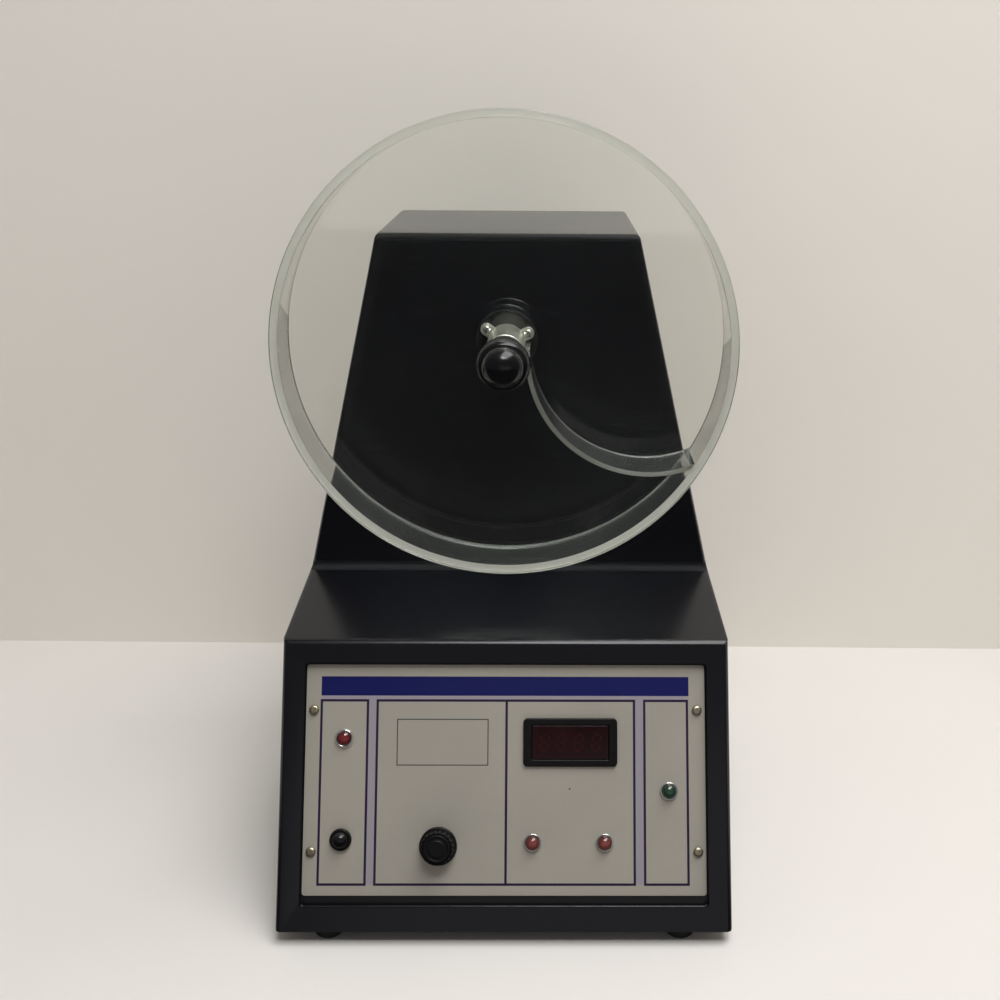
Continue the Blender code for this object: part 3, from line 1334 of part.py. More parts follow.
def build_rear_cover():
    """Flat cover on the rear flange, with vents, mains inlet, fuse holder and screws."""
    front = CASE_REAR_Y + TOUCH_GAP
    back = front + SHEET
    outline = inset_outline(case_front_outline(CASE_BOTTOM_Z), REAR_COVER_INSET)
    cover = add_object("rear_cover", front_slab(outline, front, back), PARTS, black_paint())
    reach = (front - CUT_OVERRUN, back + CUT_OVERRUN)
    top = CASE_BOTTOM_Z + VENT_TOP_SHARE * (TOWER_TOP_Z - CASE_BOTTOM_Z)
    for index in range(VENT_COUNT):
        slot = rounded_rectangle(VENT_WIDTH, VENT_HEIGHT, VENT_HEIGHT / 2 - EDGE_BREAK / 2, 2)
        height = top - index * VENT_PITCH
        slot = [(x, z + height) for x, z in slot]
        cut(cover, cutter("vent_%d" % (index + 1), front_slab(slot, *reach)))
    for name, (x, z) in cover_screw_places().items():
        cut(cover, cutter("cover_hole_" + name, cover_screw_hole(x, z)))
        screw = turned(
            "cover_screw_" + name,
            pan_head(COVER_SCREW_HEAD_RADIUS, COVER_SCREW_HEAD_HEIGHT,
                     COVER_SCREW_RADIUS, COVER_SCREW_LENGTH),
            bright_steel(), None, (x, back + TOUCH_GAP, z), SCREW_SIDES)
        screw.rotation_euler = (-math.pi / 2, 0, 0)
        as_part(screw)

    inlet_x, inlet_z = back_place(INLET_PLACE_SHARES)
    body_width = INLET_WIDTH - 2 * INLET_BODY_INSET
    body_height = INLET_HEIGHT - 2 * INLET_BODY_INSET
    depth = front - CASE_REAR_Y + SHEET + CUT_OVERRUN
    hole = block_mesh(
        (body_width + 2 * TOUCH_GAP, 2 * depth, body_height + 2 * TOUCH_GAP),
        (inlet_x, CASE_REAR_Y, inlet_z))
    cut(cover, cutter("inlet_hole", hole))
    fuse_x, fuse_z = back_place(FUSE_PLACE_SHARES)
    fuse_hole = rod_mesh(FUSE_BODY_RADIUS + TOUCH_GAP, -CUT_OVERRUN, SHEET + CUT_OVERRUN)
    cut(cover, cutter(
        "fuse_hole", fuse_hole, at=(fuse_x, back, fuse_z), turn=(math.pi / 2, 0, 0)))
    as_part(cover)
    build_inlet(inlet_x, inlet_z, back, body_width, body_height)
    build_fuse_holder(fuse_x, fuse_z, back)


def build_inlet(x, z, face, body_width, body_height):
    """Three-pin mains inlet: flange on the cover, body through it, socket and pins."""
    flange_back = face + INLET_PROUD
    flange_front = face + TOUCH_GAP
    inlet = add_object(
        "power_inlet",
        block_mesh((INLET_WIDTH, flange_back - flange_front, INLET_HEIGHT),
                   (x, (flange_back + flange_front) / 2, z)),
        PARTS, black_plastic())
    round_edges(inlet, EDGE_BREAK, 1)
    body_front = face - INLET_BODY_DEPTH
    body = block_mesh(
        (body_width, face + INLET_PROUD / 2 - body_front, body_height),
        (x, (face + INLET_PROUD / 2 + body_front) / 2, z))
    join(inlet, cutter("inlet_body", body))
    socket_front = flange_back - INLET_SOCKET_DEPTH
    socket_width = body_width - 2 * INLET_SOCKET_INSET
    socket_height = body_height - INLET_SOCKET_INSET
    socket = block_mesh(
        (socket_width, INLET_SOCKET_DEPTH + CUT_OVERRUN, socket_height),
        (x, (socket_front + flange_back + CUT_OVERRUN) / 2, z))
    cut(inlet, cutter("inlet_socket", socket))
    for index in (-1, 0, 1):
        pin = block_mesh(
            (INLET_PIN_RADIUS, INLET_PIN_LENGTH + RUNNING_GAP, 2 * INLET_PIN_RADIUS),
            (x + index * INLET_PIN_PITCH,
             socket_front + (INLET_PIN_LENGTH - RUNNING_GAP) / 2,
             z + (1 - abs(index)) * INLET_PIN_RADIUS))
        join(inlet, cutter("inlet_pin_%d" % (index + 2), pin))
    as_part(inlet)


def build_fuse_holder(x, z, face):
    """Round fuse holder: black cap on the cover and a body behind it."""
    seat = TOUCH_GAP
    cap = FUSE_CAP_RADIUS
    fuse = turned(
        "fuse_holder",
        [(0, FUSE_CAP_PROUD), (cap - 2 * EDGE_BREAK, FUSE_CAP_PROUD),
         (cap - EDGE_BREAK, FUSE_CAP_PROUD - EDGE_BREAK), (cap - EDGE_BREAK, FUSE_CAP_PROUD / 3),
         (cap, FUSE_CAP_PROUD / 4), (cap, seat), (FUSE_BODY_RADIUS, seat),
         (FUSE_BODY_RADIUS, -FUSE_BODY_LENGTH), (0, -FUSE_BODY_LENGTH)],
        black_plastic(), None, (x, face, z), BUTTON_SIDES)
    fuse.rotation_euler = (-math.pi / 2, 0, 0)
    as_part(fuse)


def build_main_board():
    """Main circuit board on the standoffs, with its tall components."""
    x, y = board_place()
    low = CASE_BOTTOM_Z + SHEET + STANDOFF_HEIGHT + TOUCH_GAP
    high = low + BOARD_THICKNESS
    sunk = high - BOARD_THICKNESS / 2
    board = add_object(
        "main_board",
        block_mesh((MAIN_BOARD_WIDTH, MAIN_BOARD_DEPTH, BOARD_THICKNESS),
                   (x, y, (low + high) / 2)),
        PARTS, green_board())
    blocks = {
        "relay": (RELAY_SIZE, RELAY_PLACE_SHARES),
        "heat_sink": (HEAT_SINK_SIZE, HEAT_SINK_PLACE_SHARES),
        "terminals": (TERMINAL_SIZE, TERMINAL_PLACE_SHARES)}
    for name, (size, (across, along)) in blocks.items():
        block = block_mesh(
            (size[0], size[1], size[2] + high - sunk),
            (x + across * MAIN_BOARD_WIDTH / 2, y + along * MAIN_BOARD_DEPTH / 2,
             (sunk + high + size[2]) / 2))
        join(board, cutter("board_" + name, block))
    for index, (across, along) in enumerate(CAPACITOR_PLACE_SHARES):
        can = rod_mesh(CAPACITOR_RADIUS, sunk, high + CAPACITOR_HEIGHT)
        place = (x + across * MAIN_BOARD_WIDTH / 2, y + along * MAIN_BOARD_DEPTH / 2, 0)
        join(board, cutter("board_capacitor_%d" % (index + 1), can, at=place))
    as_part(board)


def build_transformer():
    """Laminated core on two tabs, with the winding proud of it front and back."""
    across, along = TRANSFORMER_PLACE_SHARES
    x = across * BOX_WIDTH / 2
    y = CASE_FRONT_Y + along * CASE_DEPTH
    low = CASE_BOTTOM_Z + SHEET + TOUCH_GAP
    width, depth, height = CORE_SIZE
    core = add_object(
        "transformer", block_mesh(CORE_SIZE, (x, y, low + height / 2)), PARTS, grey_core())
    winding = block_mesh(
        (width - 2 * CORE_COIL_INSET, depth + 2 * CORE_COIL_PROUD, height - 2 * CORE_COIL_INSET),
        (x, y, low + height / 2))
    join(core, cutter("transformer_winding", winding))
    tabs = block_mesh((width + 2 * CORE_TAB, depth, SHEET), (x, y, low + SHEET / 2))
    join(core, cutter("transformer_tabs", tabs))
    as_part(core)


def main():
    clear_scene()
    panel = panel_frame()
    axis = drum_frame()
    build_housing(panel, axis)
    build_base_plate()
    build_feet()
    build_panel(panel)
    build_lamp(panel)
    build_mains_switch(panel)
    build_speed_knob(panel)
    build_display(panel)
    build_button(panel, "timer_left", TIMER_LEFT_PLACE_SHARES, red_plastic())
    build_button(panel, "timer_right", TIMER_RIGHT_PLACE_SHARES, red_plastic())
    build_button(panel, "start", START_PLACE_SHARES, green_plastic())
    build_drum(axis)
    build_hub(axis)
    build_cover_knob(axis)
    build_drive(axis)
    build_rear_cover()
    build_main_board()
    build_transformer()


main()
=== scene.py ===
"""Looks of a single-drum tablet tester: clear drum, black sheet-steel case, printed panel.

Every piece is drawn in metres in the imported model's own frame: +Z up, front towards -Y.
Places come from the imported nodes; sizes that only the looks need are fields of the classes.
"""

import json
import logging
import math
from collections.abc import Iterable, Sequence
from dataclasses import dataclass
from enum import Enum
from functools import cache

import bmesh
import bpy
from mathutils import Matrix, Vector

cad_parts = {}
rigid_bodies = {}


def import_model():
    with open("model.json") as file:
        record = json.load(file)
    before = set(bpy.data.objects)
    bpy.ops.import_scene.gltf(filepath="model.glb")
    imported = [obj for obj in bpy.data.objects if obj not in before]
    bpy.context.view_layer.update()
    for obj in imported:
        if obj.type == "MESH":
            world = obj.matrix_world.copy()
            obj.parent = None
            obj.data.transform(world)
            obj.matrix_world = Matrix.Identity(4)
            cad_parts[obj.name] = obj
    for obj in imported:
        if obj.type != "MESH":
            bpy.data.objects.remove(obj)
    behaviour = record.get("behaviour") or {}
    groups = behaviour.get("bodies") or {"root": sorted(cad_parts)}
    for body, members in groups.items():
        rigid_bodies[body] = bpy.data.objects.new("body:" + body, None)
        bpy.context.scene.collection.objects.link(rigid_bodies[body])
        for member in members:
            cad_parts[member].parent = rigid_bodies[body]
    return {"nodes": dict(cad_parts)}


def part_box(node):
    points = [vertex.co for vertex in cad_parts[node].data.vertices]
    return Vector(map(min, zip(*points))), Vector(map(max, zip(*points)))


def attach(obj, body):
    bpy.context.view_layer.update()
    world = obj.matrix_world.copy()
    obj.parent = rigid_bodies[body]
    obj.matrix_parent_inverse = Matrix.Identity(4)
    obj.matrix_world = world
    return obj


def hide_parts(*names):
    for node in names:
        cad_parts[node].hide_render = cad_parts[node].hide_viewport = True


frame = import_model()
log = logging.getLogger("tablet_tester")

Point = tuple[float, float]
Corner = tuple[float, float, float]
Colour = tuple[float, float, float]

MERGE = 0.000001
SMOOTH_ANGLE = math.radians(35)
QUARTER = math.pi / 2


class Body(Enum):
    """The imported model's moving bodies."""

    CASE = "case"
    DRUM = "drum"
    COVER = "cover"
    COVER_KNOB = "cover_knob"
    SPEED_KNOB = "speed_knob"
    MAINS_BUTTON = "mains_button"
    TIMER_LEFT = "timer_left_button"
    TIMER_RIGHT = "timer_right_button"
    START = "start_button"


class Operation(Enum):
    """What a tool does to a workpiece."""

    CUT = "DIFFERENCE"
    JOIN = "UNION"


# Places


def facing(origin: Sequence[float], across: Sequence[float], upward: Sequence[float]) -> Matrix:
    """A frame with X across, Y upward and Z towards whoever faces it.

    Args:
        origin: Its origin in the model's axes.
        across: Its X direction.
        upward: Its Y direction.

    Returns:
        The frame's matrix.
    """
    x, y = Vector(across), Vector(upward)
    return Matrix.Translation(origin) @ Matrix((x, y, x.cross(y))).transposed().to_4x4()


LEAN = math.radians(25.6)
TAPER_FOOT = 0.1812
TOWER_FRONT = 0.0033
TOWER_FOOT = 0.1973
TOWER_TOP = 0.4403
TOWER_TOP_HALF = 0.0895
CASE_HALF = 0.150
CASE_BOTTOM = 0.0103
PANEL = facing((0, -0.124820, 0.096397), (1, 0, 0), (0, math.sin(LEAN), math.cos(LEAN)))
AXIS = facing((0, -0.079685, 0.3743), (1, 0, 0), (0, 0, 1))
BACK = facing((0, 0.162615, 0), (-1, 0, 0), (0, 0, 1))
UNDER = facing((0, 0, 0), (1, 0, 0), (0, -1, 0))
HUB_ANGLES = tuple(math.radians(a) for a in (25, 145, 265))
HUB_SCREW_CIRCLE = 0.0158
SCREW_HOLE = 0.0018
SHAFT_HOLE = 0.0053
ACRYLIC_IOR = 1.49
INK_EDGE = 0.00012


@dataclass(frozen=True)
class Extent:
    """A node's extent in a frame of its own."""

    low: Vector
    high: Vector

    @property
    def size(self) -> Vector:
        """Its width, height and depth."""
        return self.high - self.low

    @property
    def middle(self) -> Point:
        """Its middle in the frame's plane."""
        return tuple(((self.low + self.high) / 2).xy)

    @property
    def radius(self) -> float:
        """Half of its width."""
        return self.size.x / 2


def extent(node: str, place: Matrix) -> Extent:
    """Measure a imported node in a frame.

    Args:
        node: The node's name.
        place: The frame's matrix.

    Returns:
        The node's extent there.
    """
    inverse = place.inverted()
    points = [inverse @ v.co for v in frame["nodes"][node].data.vertices]
    return Extent(Vector(map(min, zip(*points))), Vector(map(max, zip(*points))))


def at(place: Matrix, middle: Point) -> Matrix:
    """The frame moved in its own plane to a point."""
    return place @ Matrix.Translation((*middle, 0))


# Node trees


def scaled(colour: Colour, factor: float) -> Colour:
    """A colour made darker or lighter."""
    return tuple(part * factor for part in colour)


class Graph:
    """Adds nodes to one tree, with their inputs given by index or name."""

    def __init__(self, tree: bpy.types.NodeTree) -> None:
        """Keep the tree that the nodes go into."""
        self.tree = tree

    def feed(self, socket: bpy.types.NodeSocket, value: object) -> None:
        """Link or set an input. A colour gets its full opacity here.

        Args:
            socket: The input.
            value: Another node's output, or a plain value.
        """
        if isinstance(value, bpy.types.NodeSocket):
            self.tree.links.new(value, socket)
        else:
            socket.default_value = (*value, 1.0) if socket.type == "RGBA" else value

    def add(self, kind: str, inputs: dict | None = None, **settings: object) -> bpy.types.Node:
        """Add a node.

        Args:
            kind: The node's Blender type.
            inputs: Values or outputs for its inputs, by index or name.
            **settings: The node's own properties.

        Returns:
            The new node.
        """
        node = self.tree.nodes.new(kind)
        for key, value in settings.items():
            setattr(node, key, value)
        for key, value in (inputs or {}).items():
            self.feed(node.inputs[key], value)
        return node

    def use(self, group: bpy.types.NodeTree, **inputs: object) -> Sequence[bpy.types.NodeSocket]:
        """Add a node group.

        Args:
            group: The group's tree.
            **inputs: Its inputs; an underscore in a name stands for a space.

        Returns:
            The group's outputs.
        """
        named = {name.replace("_", " "): value for name, value in inputs.items()}
        return self.add("ShaderNodeGroup", named, node_tree=group).outputs

    def math(self, operation: str, *values: object, clamp: bool = False) -> bpy.types.NodeSocket:
        """Do one sum on plain numbers.

        Args:
            operation: The Math node's operation.
            *values: Its operands.
            clamp: Whether the result is kept between 0 and 1.

        Returns:
            The result's socket.
        """
        return self.add("ShaderNodeMath", dict(enumerate(values)), operation=operation,
                        use_clamp=clamp).outputs[0]

    def times(self, first: object, *others: object) -> bpy.types.NodeSocket:
        """Multiply values with each other.

        Args:
            first: The first factor.
            *others: The other factors.

        Returns:
            The product's socket.
        """
        for other in others:
            first = self.math("MULTIPLY", first, other)
        return first

    def axes(self, vector: object) -> Sequence[bpy.types.NodeSocket]:
        """The three parts of a vector."""
        return self.add("ShaderNodeSeparateXYZ", {0: vector}).outputs

    def span(self, value: object, low: float, high: float, to_low: object = 0.0,
             to_high: object = 1.0) -> bpy.types.NodeSocket:
        """Map a range of values smoothly to another.

        Args:
            value: The value that is mapped.
            low: Where the range starts.
            high: Where it ends.
            to_low: What its start becomes.
            to_high: What its end becomes.

        Returns:
            The mapped value's socket.
        """
        return self.add(
            "ShaderNodeMapRange", {0: value, 1: low, 2: high, 3: to_low, 4: to_high},
            interpolation_type="SMOOTHSTEP").outputs[0]

    def noise(self, place: object, scale: object, detail: float) -> bpy.types.NodeSocket:
        """Noise at a place, in grains for each metre."""
        return self.add("ShaderNodeTexNoise", {
            "Vector": place, "Scale": scale, "Detail": detail}).outputs[0]

    def clouds(self, place: object, scale: object, detail: float,
               *span: float) -> bpy.types.NodeSocket:
        """Noise with its contrast set by a span, as noise and span take their values."""
        return self.span(self.noise(place, scale, detail), *span)

    def blend(self, share: object, first: object, second: object) -> bpy.types.NodeSocket:
        """Mix two colours, of which the second shows where the share is 1."""
        return self.add("ShaderNodeMix", {0: share, 6: first, 7: second},
                        data_type="RGBA").outputs[2]

    def either(self, share: object, first: bpy.types.Node,
               second: bpy.types.Node) -> bpy.types.Node:
        """Mix two shaders, of which the second shows where the share is 1."""
        return self.add("ShaderNodeMixShader", {
            0: share, 1: first.outputs[0], 2: second.outputs[0]})


@dataclass(frozen=True)
class Port:
    """A named input or output of a node group."""

    name: str
    default: float | None = None
    kind: str = "NodeSocketFloat"


PLACE = Port("Place", kind="NodeSocketVector")


def group_tree(name: str, inputs: Sequence[Port], outputs: Sequence[Port],
               kind: str = "ShaderNodeTree") -> tuple:
    """Start a node group with named sockets.

    Args:
        name: The group's name.
        inputs: Its inputs, in order.
        outputs: Its outputs, in order.
        kind: The tree's Blender type.

    Returns:
        The group's graph, the values that it is given, and the inputs of its results.
    """
    tree = bpy.data.node_groups.new(name, kind)
    for way, ports in (("INPUT", inputs), ("OUTPUT", outputs)):
        for port in ports:
            socket = tree.interface.new_socket(port.name, in_out=way, socket_type=port.kind)
            if port.default is not None:
                socket.default_value = port.default
    graph = Graph(tree)
    return graph, graph.add("NodeGroupInput").outputs, graph.add("NodeGroupOutput").inputs


@cache
def grain_group() -> bpy.types.NodeTree:
    """Fine grain for a bump and broad patches for colour or roughness.

    Returns:
        The group's tree.
    """
    graph, given, result = group_tree(
        "grain", [PLACE, Port("Grains for each metre", 900.0),
                  Port("Patches for each metre", 14.0)], [Port("Height"), Port("Patch")])
    graph.feed(result["Height"], graph.noise(given[0], given[1], 3.0))
    graph.feed(result["Patch"], graph.clouds(given[0], given[2], 4.0, 0.3, 0.7))
    return graph.tree


@cache
def dust_group() -> bpy.types.NodeTree:
    """Dust that lies on upward faces, in a thin veil with single specks.

    Returns:
        The group's tree.
    """
    graph, (place, veil, specks, *_), result = group_tree(
        "dust", [PLACE, Port("Veil", 0.2), Port("Specks", 0.4)], [Port("Mask")])
    normal = graph.add("ShaderNodeNewGeometry").outputs["Normal"]
    level = graph.span(graph.axes(normal)[2], 0.25, 0.95)
    cells = graph.add("ShaderNodeTexVoronoi", {"Vector": place, "Scale": 420.0}).outputs[0]
    chosen = graph.clouds(place, 95.0, 1.0, 0.6, 0.68)
    lying = graph.math("MAXIMUM", graph.times(graph.clouds(place, 22.0, 2.0, 0.2, 0.9), veil),
                       graph.times(graph.span(cells, 0.16, 0.08), chosen, specks))
    graph.feed(result["Mask"], graph.times(lying, level))
    return graph.tree


@cache
def turning_group() -> bpy.types.NodeTree:
    """Fine concentric tool marks about the local Z axis of the place that is given.

    Returns:
        The group's tree.
    """
    graph, given, result = group_tree(
        "turning_marks", [PLACE, Port("Marks for each metre", 4000.0)], [Port("Height")])
    x, y, z = graph.axes(given[0])
    radius = graph.math("SQRT", graph.math(
        "ADD", graph.math("POWER", x, 2.0), graph.math("POWER", y, 2.0)))
    line = graph.add("ShaderNodeCombineXYZ", {0: radius, 1: z}).outputs[0]
    graph.feed(result["Height"], graph.noise(line, given[1], 2.0))
    return graph.tree


@cache
def marks_group() -> bpy.types.NodeTree:
    """Faint wipe marks and scratches in two directions.

    Returns:
        The group's tree.
    """
    graph, (place, amount, *_), result = group_tree(
        "wipe_marks", [PLACE, Port("Amount", 1.0)], [Port("Mask")])
    masks = []
    for stretch in ((30.0, 2600.0, 400.0), (2300.0, 50.0, 500.0)):
        drawn = graph.add("ShaderNodeVectorMath", {0: place, 1: stretch}, operation="MULTIPLY")
        masks.append(graph.clouds(drawn.outputs[0], 1.0, 1.0, 0.66, 0.74))
    graph.feed(result["Mask"], graph.times(
        graph.math("MAXIMUM", *masks), graph.clouds(place, 18.0, 3.0, 0.45, 0.7), amount))
    return graph.tree


@cache
def printed_box_group() -> bpy.types.NodeTree:
    """A printed rectangle: its filled mask and its outline's mask, in the panel's own plane.

    Returns:
        The group's tree.
    """
    graph, given, result = group_tree(
        "printed_box", [PLACE, Port("Middle across"), Port("Middle up"), Port("Half width"),
                        Port("Half height"), Port("Line", 0.001)],
        [Port("Filled"), Port("Outline")])
    parts = graph.axes(given["Place"])
    beyond = [graph.math("SUBTRACT", graph.math("ABSOLUTE", graph.math(
        "SUBTRACT", part, given[middle])), given[half]) for part, middle, half in (
            (parts[0], "Middle across", "Half width"), (parts[1], "Middle up", "Half height"))]
    outside = graph.math("MAXIMUM", *beyond)
    from_line = graph.math(
        "SUBTRACT", graph.math("ABSOLUTE", outside), graph.times(given["Line"], 0.5))
    graph.feed(result["Filled"], graph.span(outside, INK_EDGE, -INK_EDGE))
    graph.feed(result["Outline"], graph.span(from_line, INK_EDGE, -INK_EDGE))
    return graph.tree


def box_mask(graph: Graph, place: object, middle: Point, half: Point, line: float = 0.001,
             output: str = "Filled") -> bpy.types.NodeSocket:
    """Where a printed rectangle has ink.

    Args:
        graph: The material's graph.
        place: The place in the rectangle's plane.
        middle: The rectangle's middle.
        half: Half of its width and height.
        line: How wide its outline is.
        output: Filled or Outline.

    Returns:
        The mask's socket.
    """
    return graph.use(printed_box_group(), Place=place, Middle_across=middle[0],
                     Middle_up=middle[1], Half_width=half[0], Half_height=half[1],
                     Line=line)[output]


# Finishes


class Look:
    """One material under construction: its Principled shader, its place and its graph."""

    def __init__(self, name: str) -> None:
        """Start a material with its Principled shader.

        Args:
            name: The material's name.
        """
        self.material = bpy.data.materials.new(name)
        self.material.use_nodes = True
        self.graph = Graph(self.material.node_tree)
        self.shader = self.material.node_tree.nodes["Principled BSDF"]
        self.place = self.graph.add("ShaderNodeTexCoord").outputs["Object"]

    def set(self, **values: object) -> None:
        """Set or link the shader's inputs; an underscore in a name stands for a space."""
        for name, value in values.items():
            self.graph.feed(self.shader.inputs[name.replace("_", " ")], value)

    def show(self, shader: bpy.types.Node) -> None:
        """Put another shader on the surface."""
        output = self.material.node_tree.nodes["Material Output"]
        self.graph.feed(output.inputs["Surface"], shader.outputs[0])

    def bump(self, height: object, distance: float, strength: float) -> None:
        """Drive the shader's normal from a height, given in metres for a height of 1.

        Args:
            height: The height's socket.
            distance: How far a height of 1 stands out.
            strength: How much of the bump shows.
        """
        node = self.graph.add(
            "ShaderNodeBump", {"Height": height, "Distance": distance, "Strength": strength})
        self.set(Normal=node.outputs[0])

    def moved(self, matrix: Matrix) -> bpy.types.NodeSocket:
        """The place in a frame that is moved and turned from the model's.

        Args:
            matrix: The frame's matrix.

        Returns:
            The place's socket.
        """
        inverse = matrix.inverted()
        return self.graph.add("ShaderNodeMapping", {
            "Vector": self.place, "Location": inverse.to_translation(),
            "Rotation": inverse.to_euler()}).outputs[0]

    def grain(self, fine: float, broad: float) -> Sequence[bpy.types.NodeSocket]:
        """The grain's height and its patches, both by how many there are in a metre."""
        return self.graph.use(grain_group(), Place=self.place, Grains_for_each_metre=fine,
                              Patches_for_each_metre=broad)

    def marks(self, amount: float, place: object = None) -> bpy.types.NodeSocket:
        """The mask of the wipe marks, at the look's own place or another."""
        return self.graph.use(marks_group(), Place=place or self.place, Amount=amount)[0]

    def dust(self, veil: float, specks: float) -> bpy.types.NodeSocket:
        """The mask of the dust."""
        return self.graph.use(dust_group(), Place=self.place, Veil=veil, Specks=specks)[0]

    def worn(self, patch: object, low: float, high: float, mask: object,
             more: float) -> bpy.types.NodeSocket:
        """A roughness that follows the patches and rises where something lies on the surface.

        Args:
            patch: The grain's patches.
            low: The roughness between them.
            high: The roughness on them.
            mask: Where the marks or the dust are.
            more: How much they add.

        Returns:
            The roughness's socket.
        """
        return self.graph.math("ADD", self.graph.times(mask, more),
                               self.graph.span(patch, 0, 1, low, high), clamp=True)


class Finish:
    """A surface finish. Each kind has its values as fields and paints its own look."""

    name: str

    def paint(self, look: Look, graph: Graph) -> None:
        """Build the finish's shader.

        Args:
            look: The material under construction.
            graph: The material's graph.
        """
        raise NotImplementedError

    def material(self) -> bpy.types.Material:
        """Make the finish's material.

        Returns:
            The material.
        """
        look = Look(self.name)
        self.paint(look, look.graph)
        return look.material


@dataclass(frozen=True)
class PowderCoat(Finish):
    """Satin black powder coat with orange peel, a little dust, and duller folds on the tower."""

    name: str = "black_powder_coat"
    colour: Colour = (0.0042, 0.0042, 0.0062)
    roughness: float = 0.23
    dust_colour: Colour = (0.16, 0.155, 0.145)
    veil: float = 0.006
    specks: float = 0.06
    fold_roughness: float = 0.8
    fold_reach: Point = (0.006, 0.003)
    grains: float = 430.0
    patches: float = 9.0
    peel_depth: float = 0.00005

    def paint(self, look: Look, graph: Graph) -> None:
        """Lay the coat, its dust and the dull folds.

        Args:
            look: The material under construction.
            graph: The material's graph.
        """
        peel, patch = look.grain(self.grains, self.patches)
        dust = look.dust(self.veil, self.specks)
        base = graph.blend(patch, scaled(self.colour, 0.9), self.colour)
        parts = graph.axes(look.place)
        folds = []
        for height in (TOWER_FOOT, TOWER_TOP):
            away = [graph.math("ABSOLUTE", graph.math("SUBTRACT", parts[axis], middle))
                    for axis, middle in ((1, TOWER_FRONT), (2, height))]
            folds.append(graph.span(graph.math("MAXIMUM", *away), *self.fold_reach))
        rough = look.worn(patch, self.roughness - 0.01, self.roughness + 0.015, dust, 0.2)
        dull = graph.times(graph.math("MAXIMUM", *folds), self.fold_roughness)
        look.set(Base_Color=graph.blend(dust, base, self.dust_colour), Specular_IOR_Level=0.45,
                 Roughness=graph.math("MAXIMUM", rough, dull))
        look.bump(peel, self.peel_depth, 0.30)


@dataclass(frozen=True)
class ClearAcrylic(Finish):
    """Polished clear acrylic, faintly green, with wipe marks; lamps shine through it."""

    name: str = "clear_acrylic_sheet"
    colour: Colour = (0.980, 0.985, 0.965)
    roughness: float = 0.006
    haze: float = 0.0
    light: Colour = (0.93, 0.955, 0.94)
    film: float = 0.012
    wipes: float = 0.10

    def paint(self, look: Look, graph: Graph) -> None:
        """Make the glass, and let light through it in the shadows.

        Args:
            look: The material under construction.
            graph: The material's graph.
        """
        film = graph.clouds(look.place, 26.0, 5.0, 0.35, 0.8, 0.0, self.film)
        rough = graph.math("ADD", graph.times(look.marks(self.wipes), 0.9), film)
        tint = graph.clouds(look.place, 11.0, 2.0, 0.35, 0.65)
        look.set(Base_Color=graph.blend(tint, self.colour, scaled(self.colour, 0.995)),
                 Transmission_Weight=1.0 - self.haze, IOR=ACRYLIC_IOR,
                 Roughness=graph.math("ADD", rough, self.roughness))
        look.show(graph.either(
            graph.add("ShaderNodeLightPath").outputs["Is Shadow Ray"], look.shader,
            graph.add("ShaderNodeBsdfTransparent", {0: self.light})))


@dataclass(frozen=True)
class CutAcrylic(Finish):
    """The sawn and cemented edges of the clear sheets: pale, frosted and slightly uneven."""

    name: str = "cut_acrylic_edge"
    colour: Colour = (0.88, 0.845, 0.78)
    transmission: float = 0.45
    grains: float = 1500.0
    patches: float = 70.0
    saw_depth: float = 0.00004

    def paint(self, look: Look, graph: Graph) -> None:
        """Frost the edge and make it greener in patches.

        Args:
            look: The material under construction.
            graph: The material's graph.
        """
        saw_marks, patch = look.grain(self.grains, self.patches)
        red, green, blue = self.colour
        greener = (red * 0.965, green * 0.975, blue * 0.96)
        look.set(Base_Color=graph.blend(patch, greener, self.colour),
                 Roughness=graph.span(saw_marks, 0.3, 0.7, 0.32, 0.5),
                 Transmission_Weight=self.transmission, IOR=ACRYLIC_IOR)
        look.bump(saw_marks, self.saw_depth, 0.3)


@dataclass(frozen=True)
class TurnedMetal(Finish):
    """Bare metal turned on a lathe: fine rings about its axis under a soft tarnish."""

    name: str
    colour: Colour
    roughness: float
    axis: Matrix
    rings: float = 3500.0
    ring_depth: float = 0.00003
    grains: float = 2500.0
    patches: float = 60.0

    def paint(self, look: Look, graph: Graph) -> None:
        """Turn the rings and tarnish them.

        Args:
            look: The material under construction.
            graph: The material's graph.
        """
        rings = graph.use(turning_group(), Place=look.moved(self.axis),
                          Marks_for_each_metre=self.rings)[0]
        patch = look.grain(self.grains, self.patches)["Patch"]
        look.set(Base_Color=graph.blend(patch, scaled(self.colour, 0.82), self.colour),
                 Metallic=1.0, Roughness=graph.span(
                     patch, 0, 1, self.roughness + 0.08, self.roughness - 0.03))
        look.bump(rings, self.ring_depth, 0.5)


@dataclass(frozen=True)
class PlatedMetal(Finish):
    """Plated or rolled metal: fine streaks, wipe marks and duller patches."""

    name: str
    colour: Colour
    roughness: float
    streaks: float = 3000.0
    streak_depth: float = 0.00002
    patches: float = 120.0
    wipes: float = 0.6

    def paint(self, look: Look, graph: Graph) -> None:
        """Plate the metal and wear it.

        Args:
            look: The material under construction.
            graph: The material's graph.
        """
        streaks, patch = look.grain(self.streaks, self.patches)
        look.set(Base_Color=graph.blend(patch, scaled(self.colour, 0.74), self.colour),
                 Metallic=1.0, Roughness=look.worn(
                     patch, self.roughness + 0.12, self.roughness, look.marks(self.wipes), 0.25))
        look.bump(streaks, self.streak_depth, 0.3)


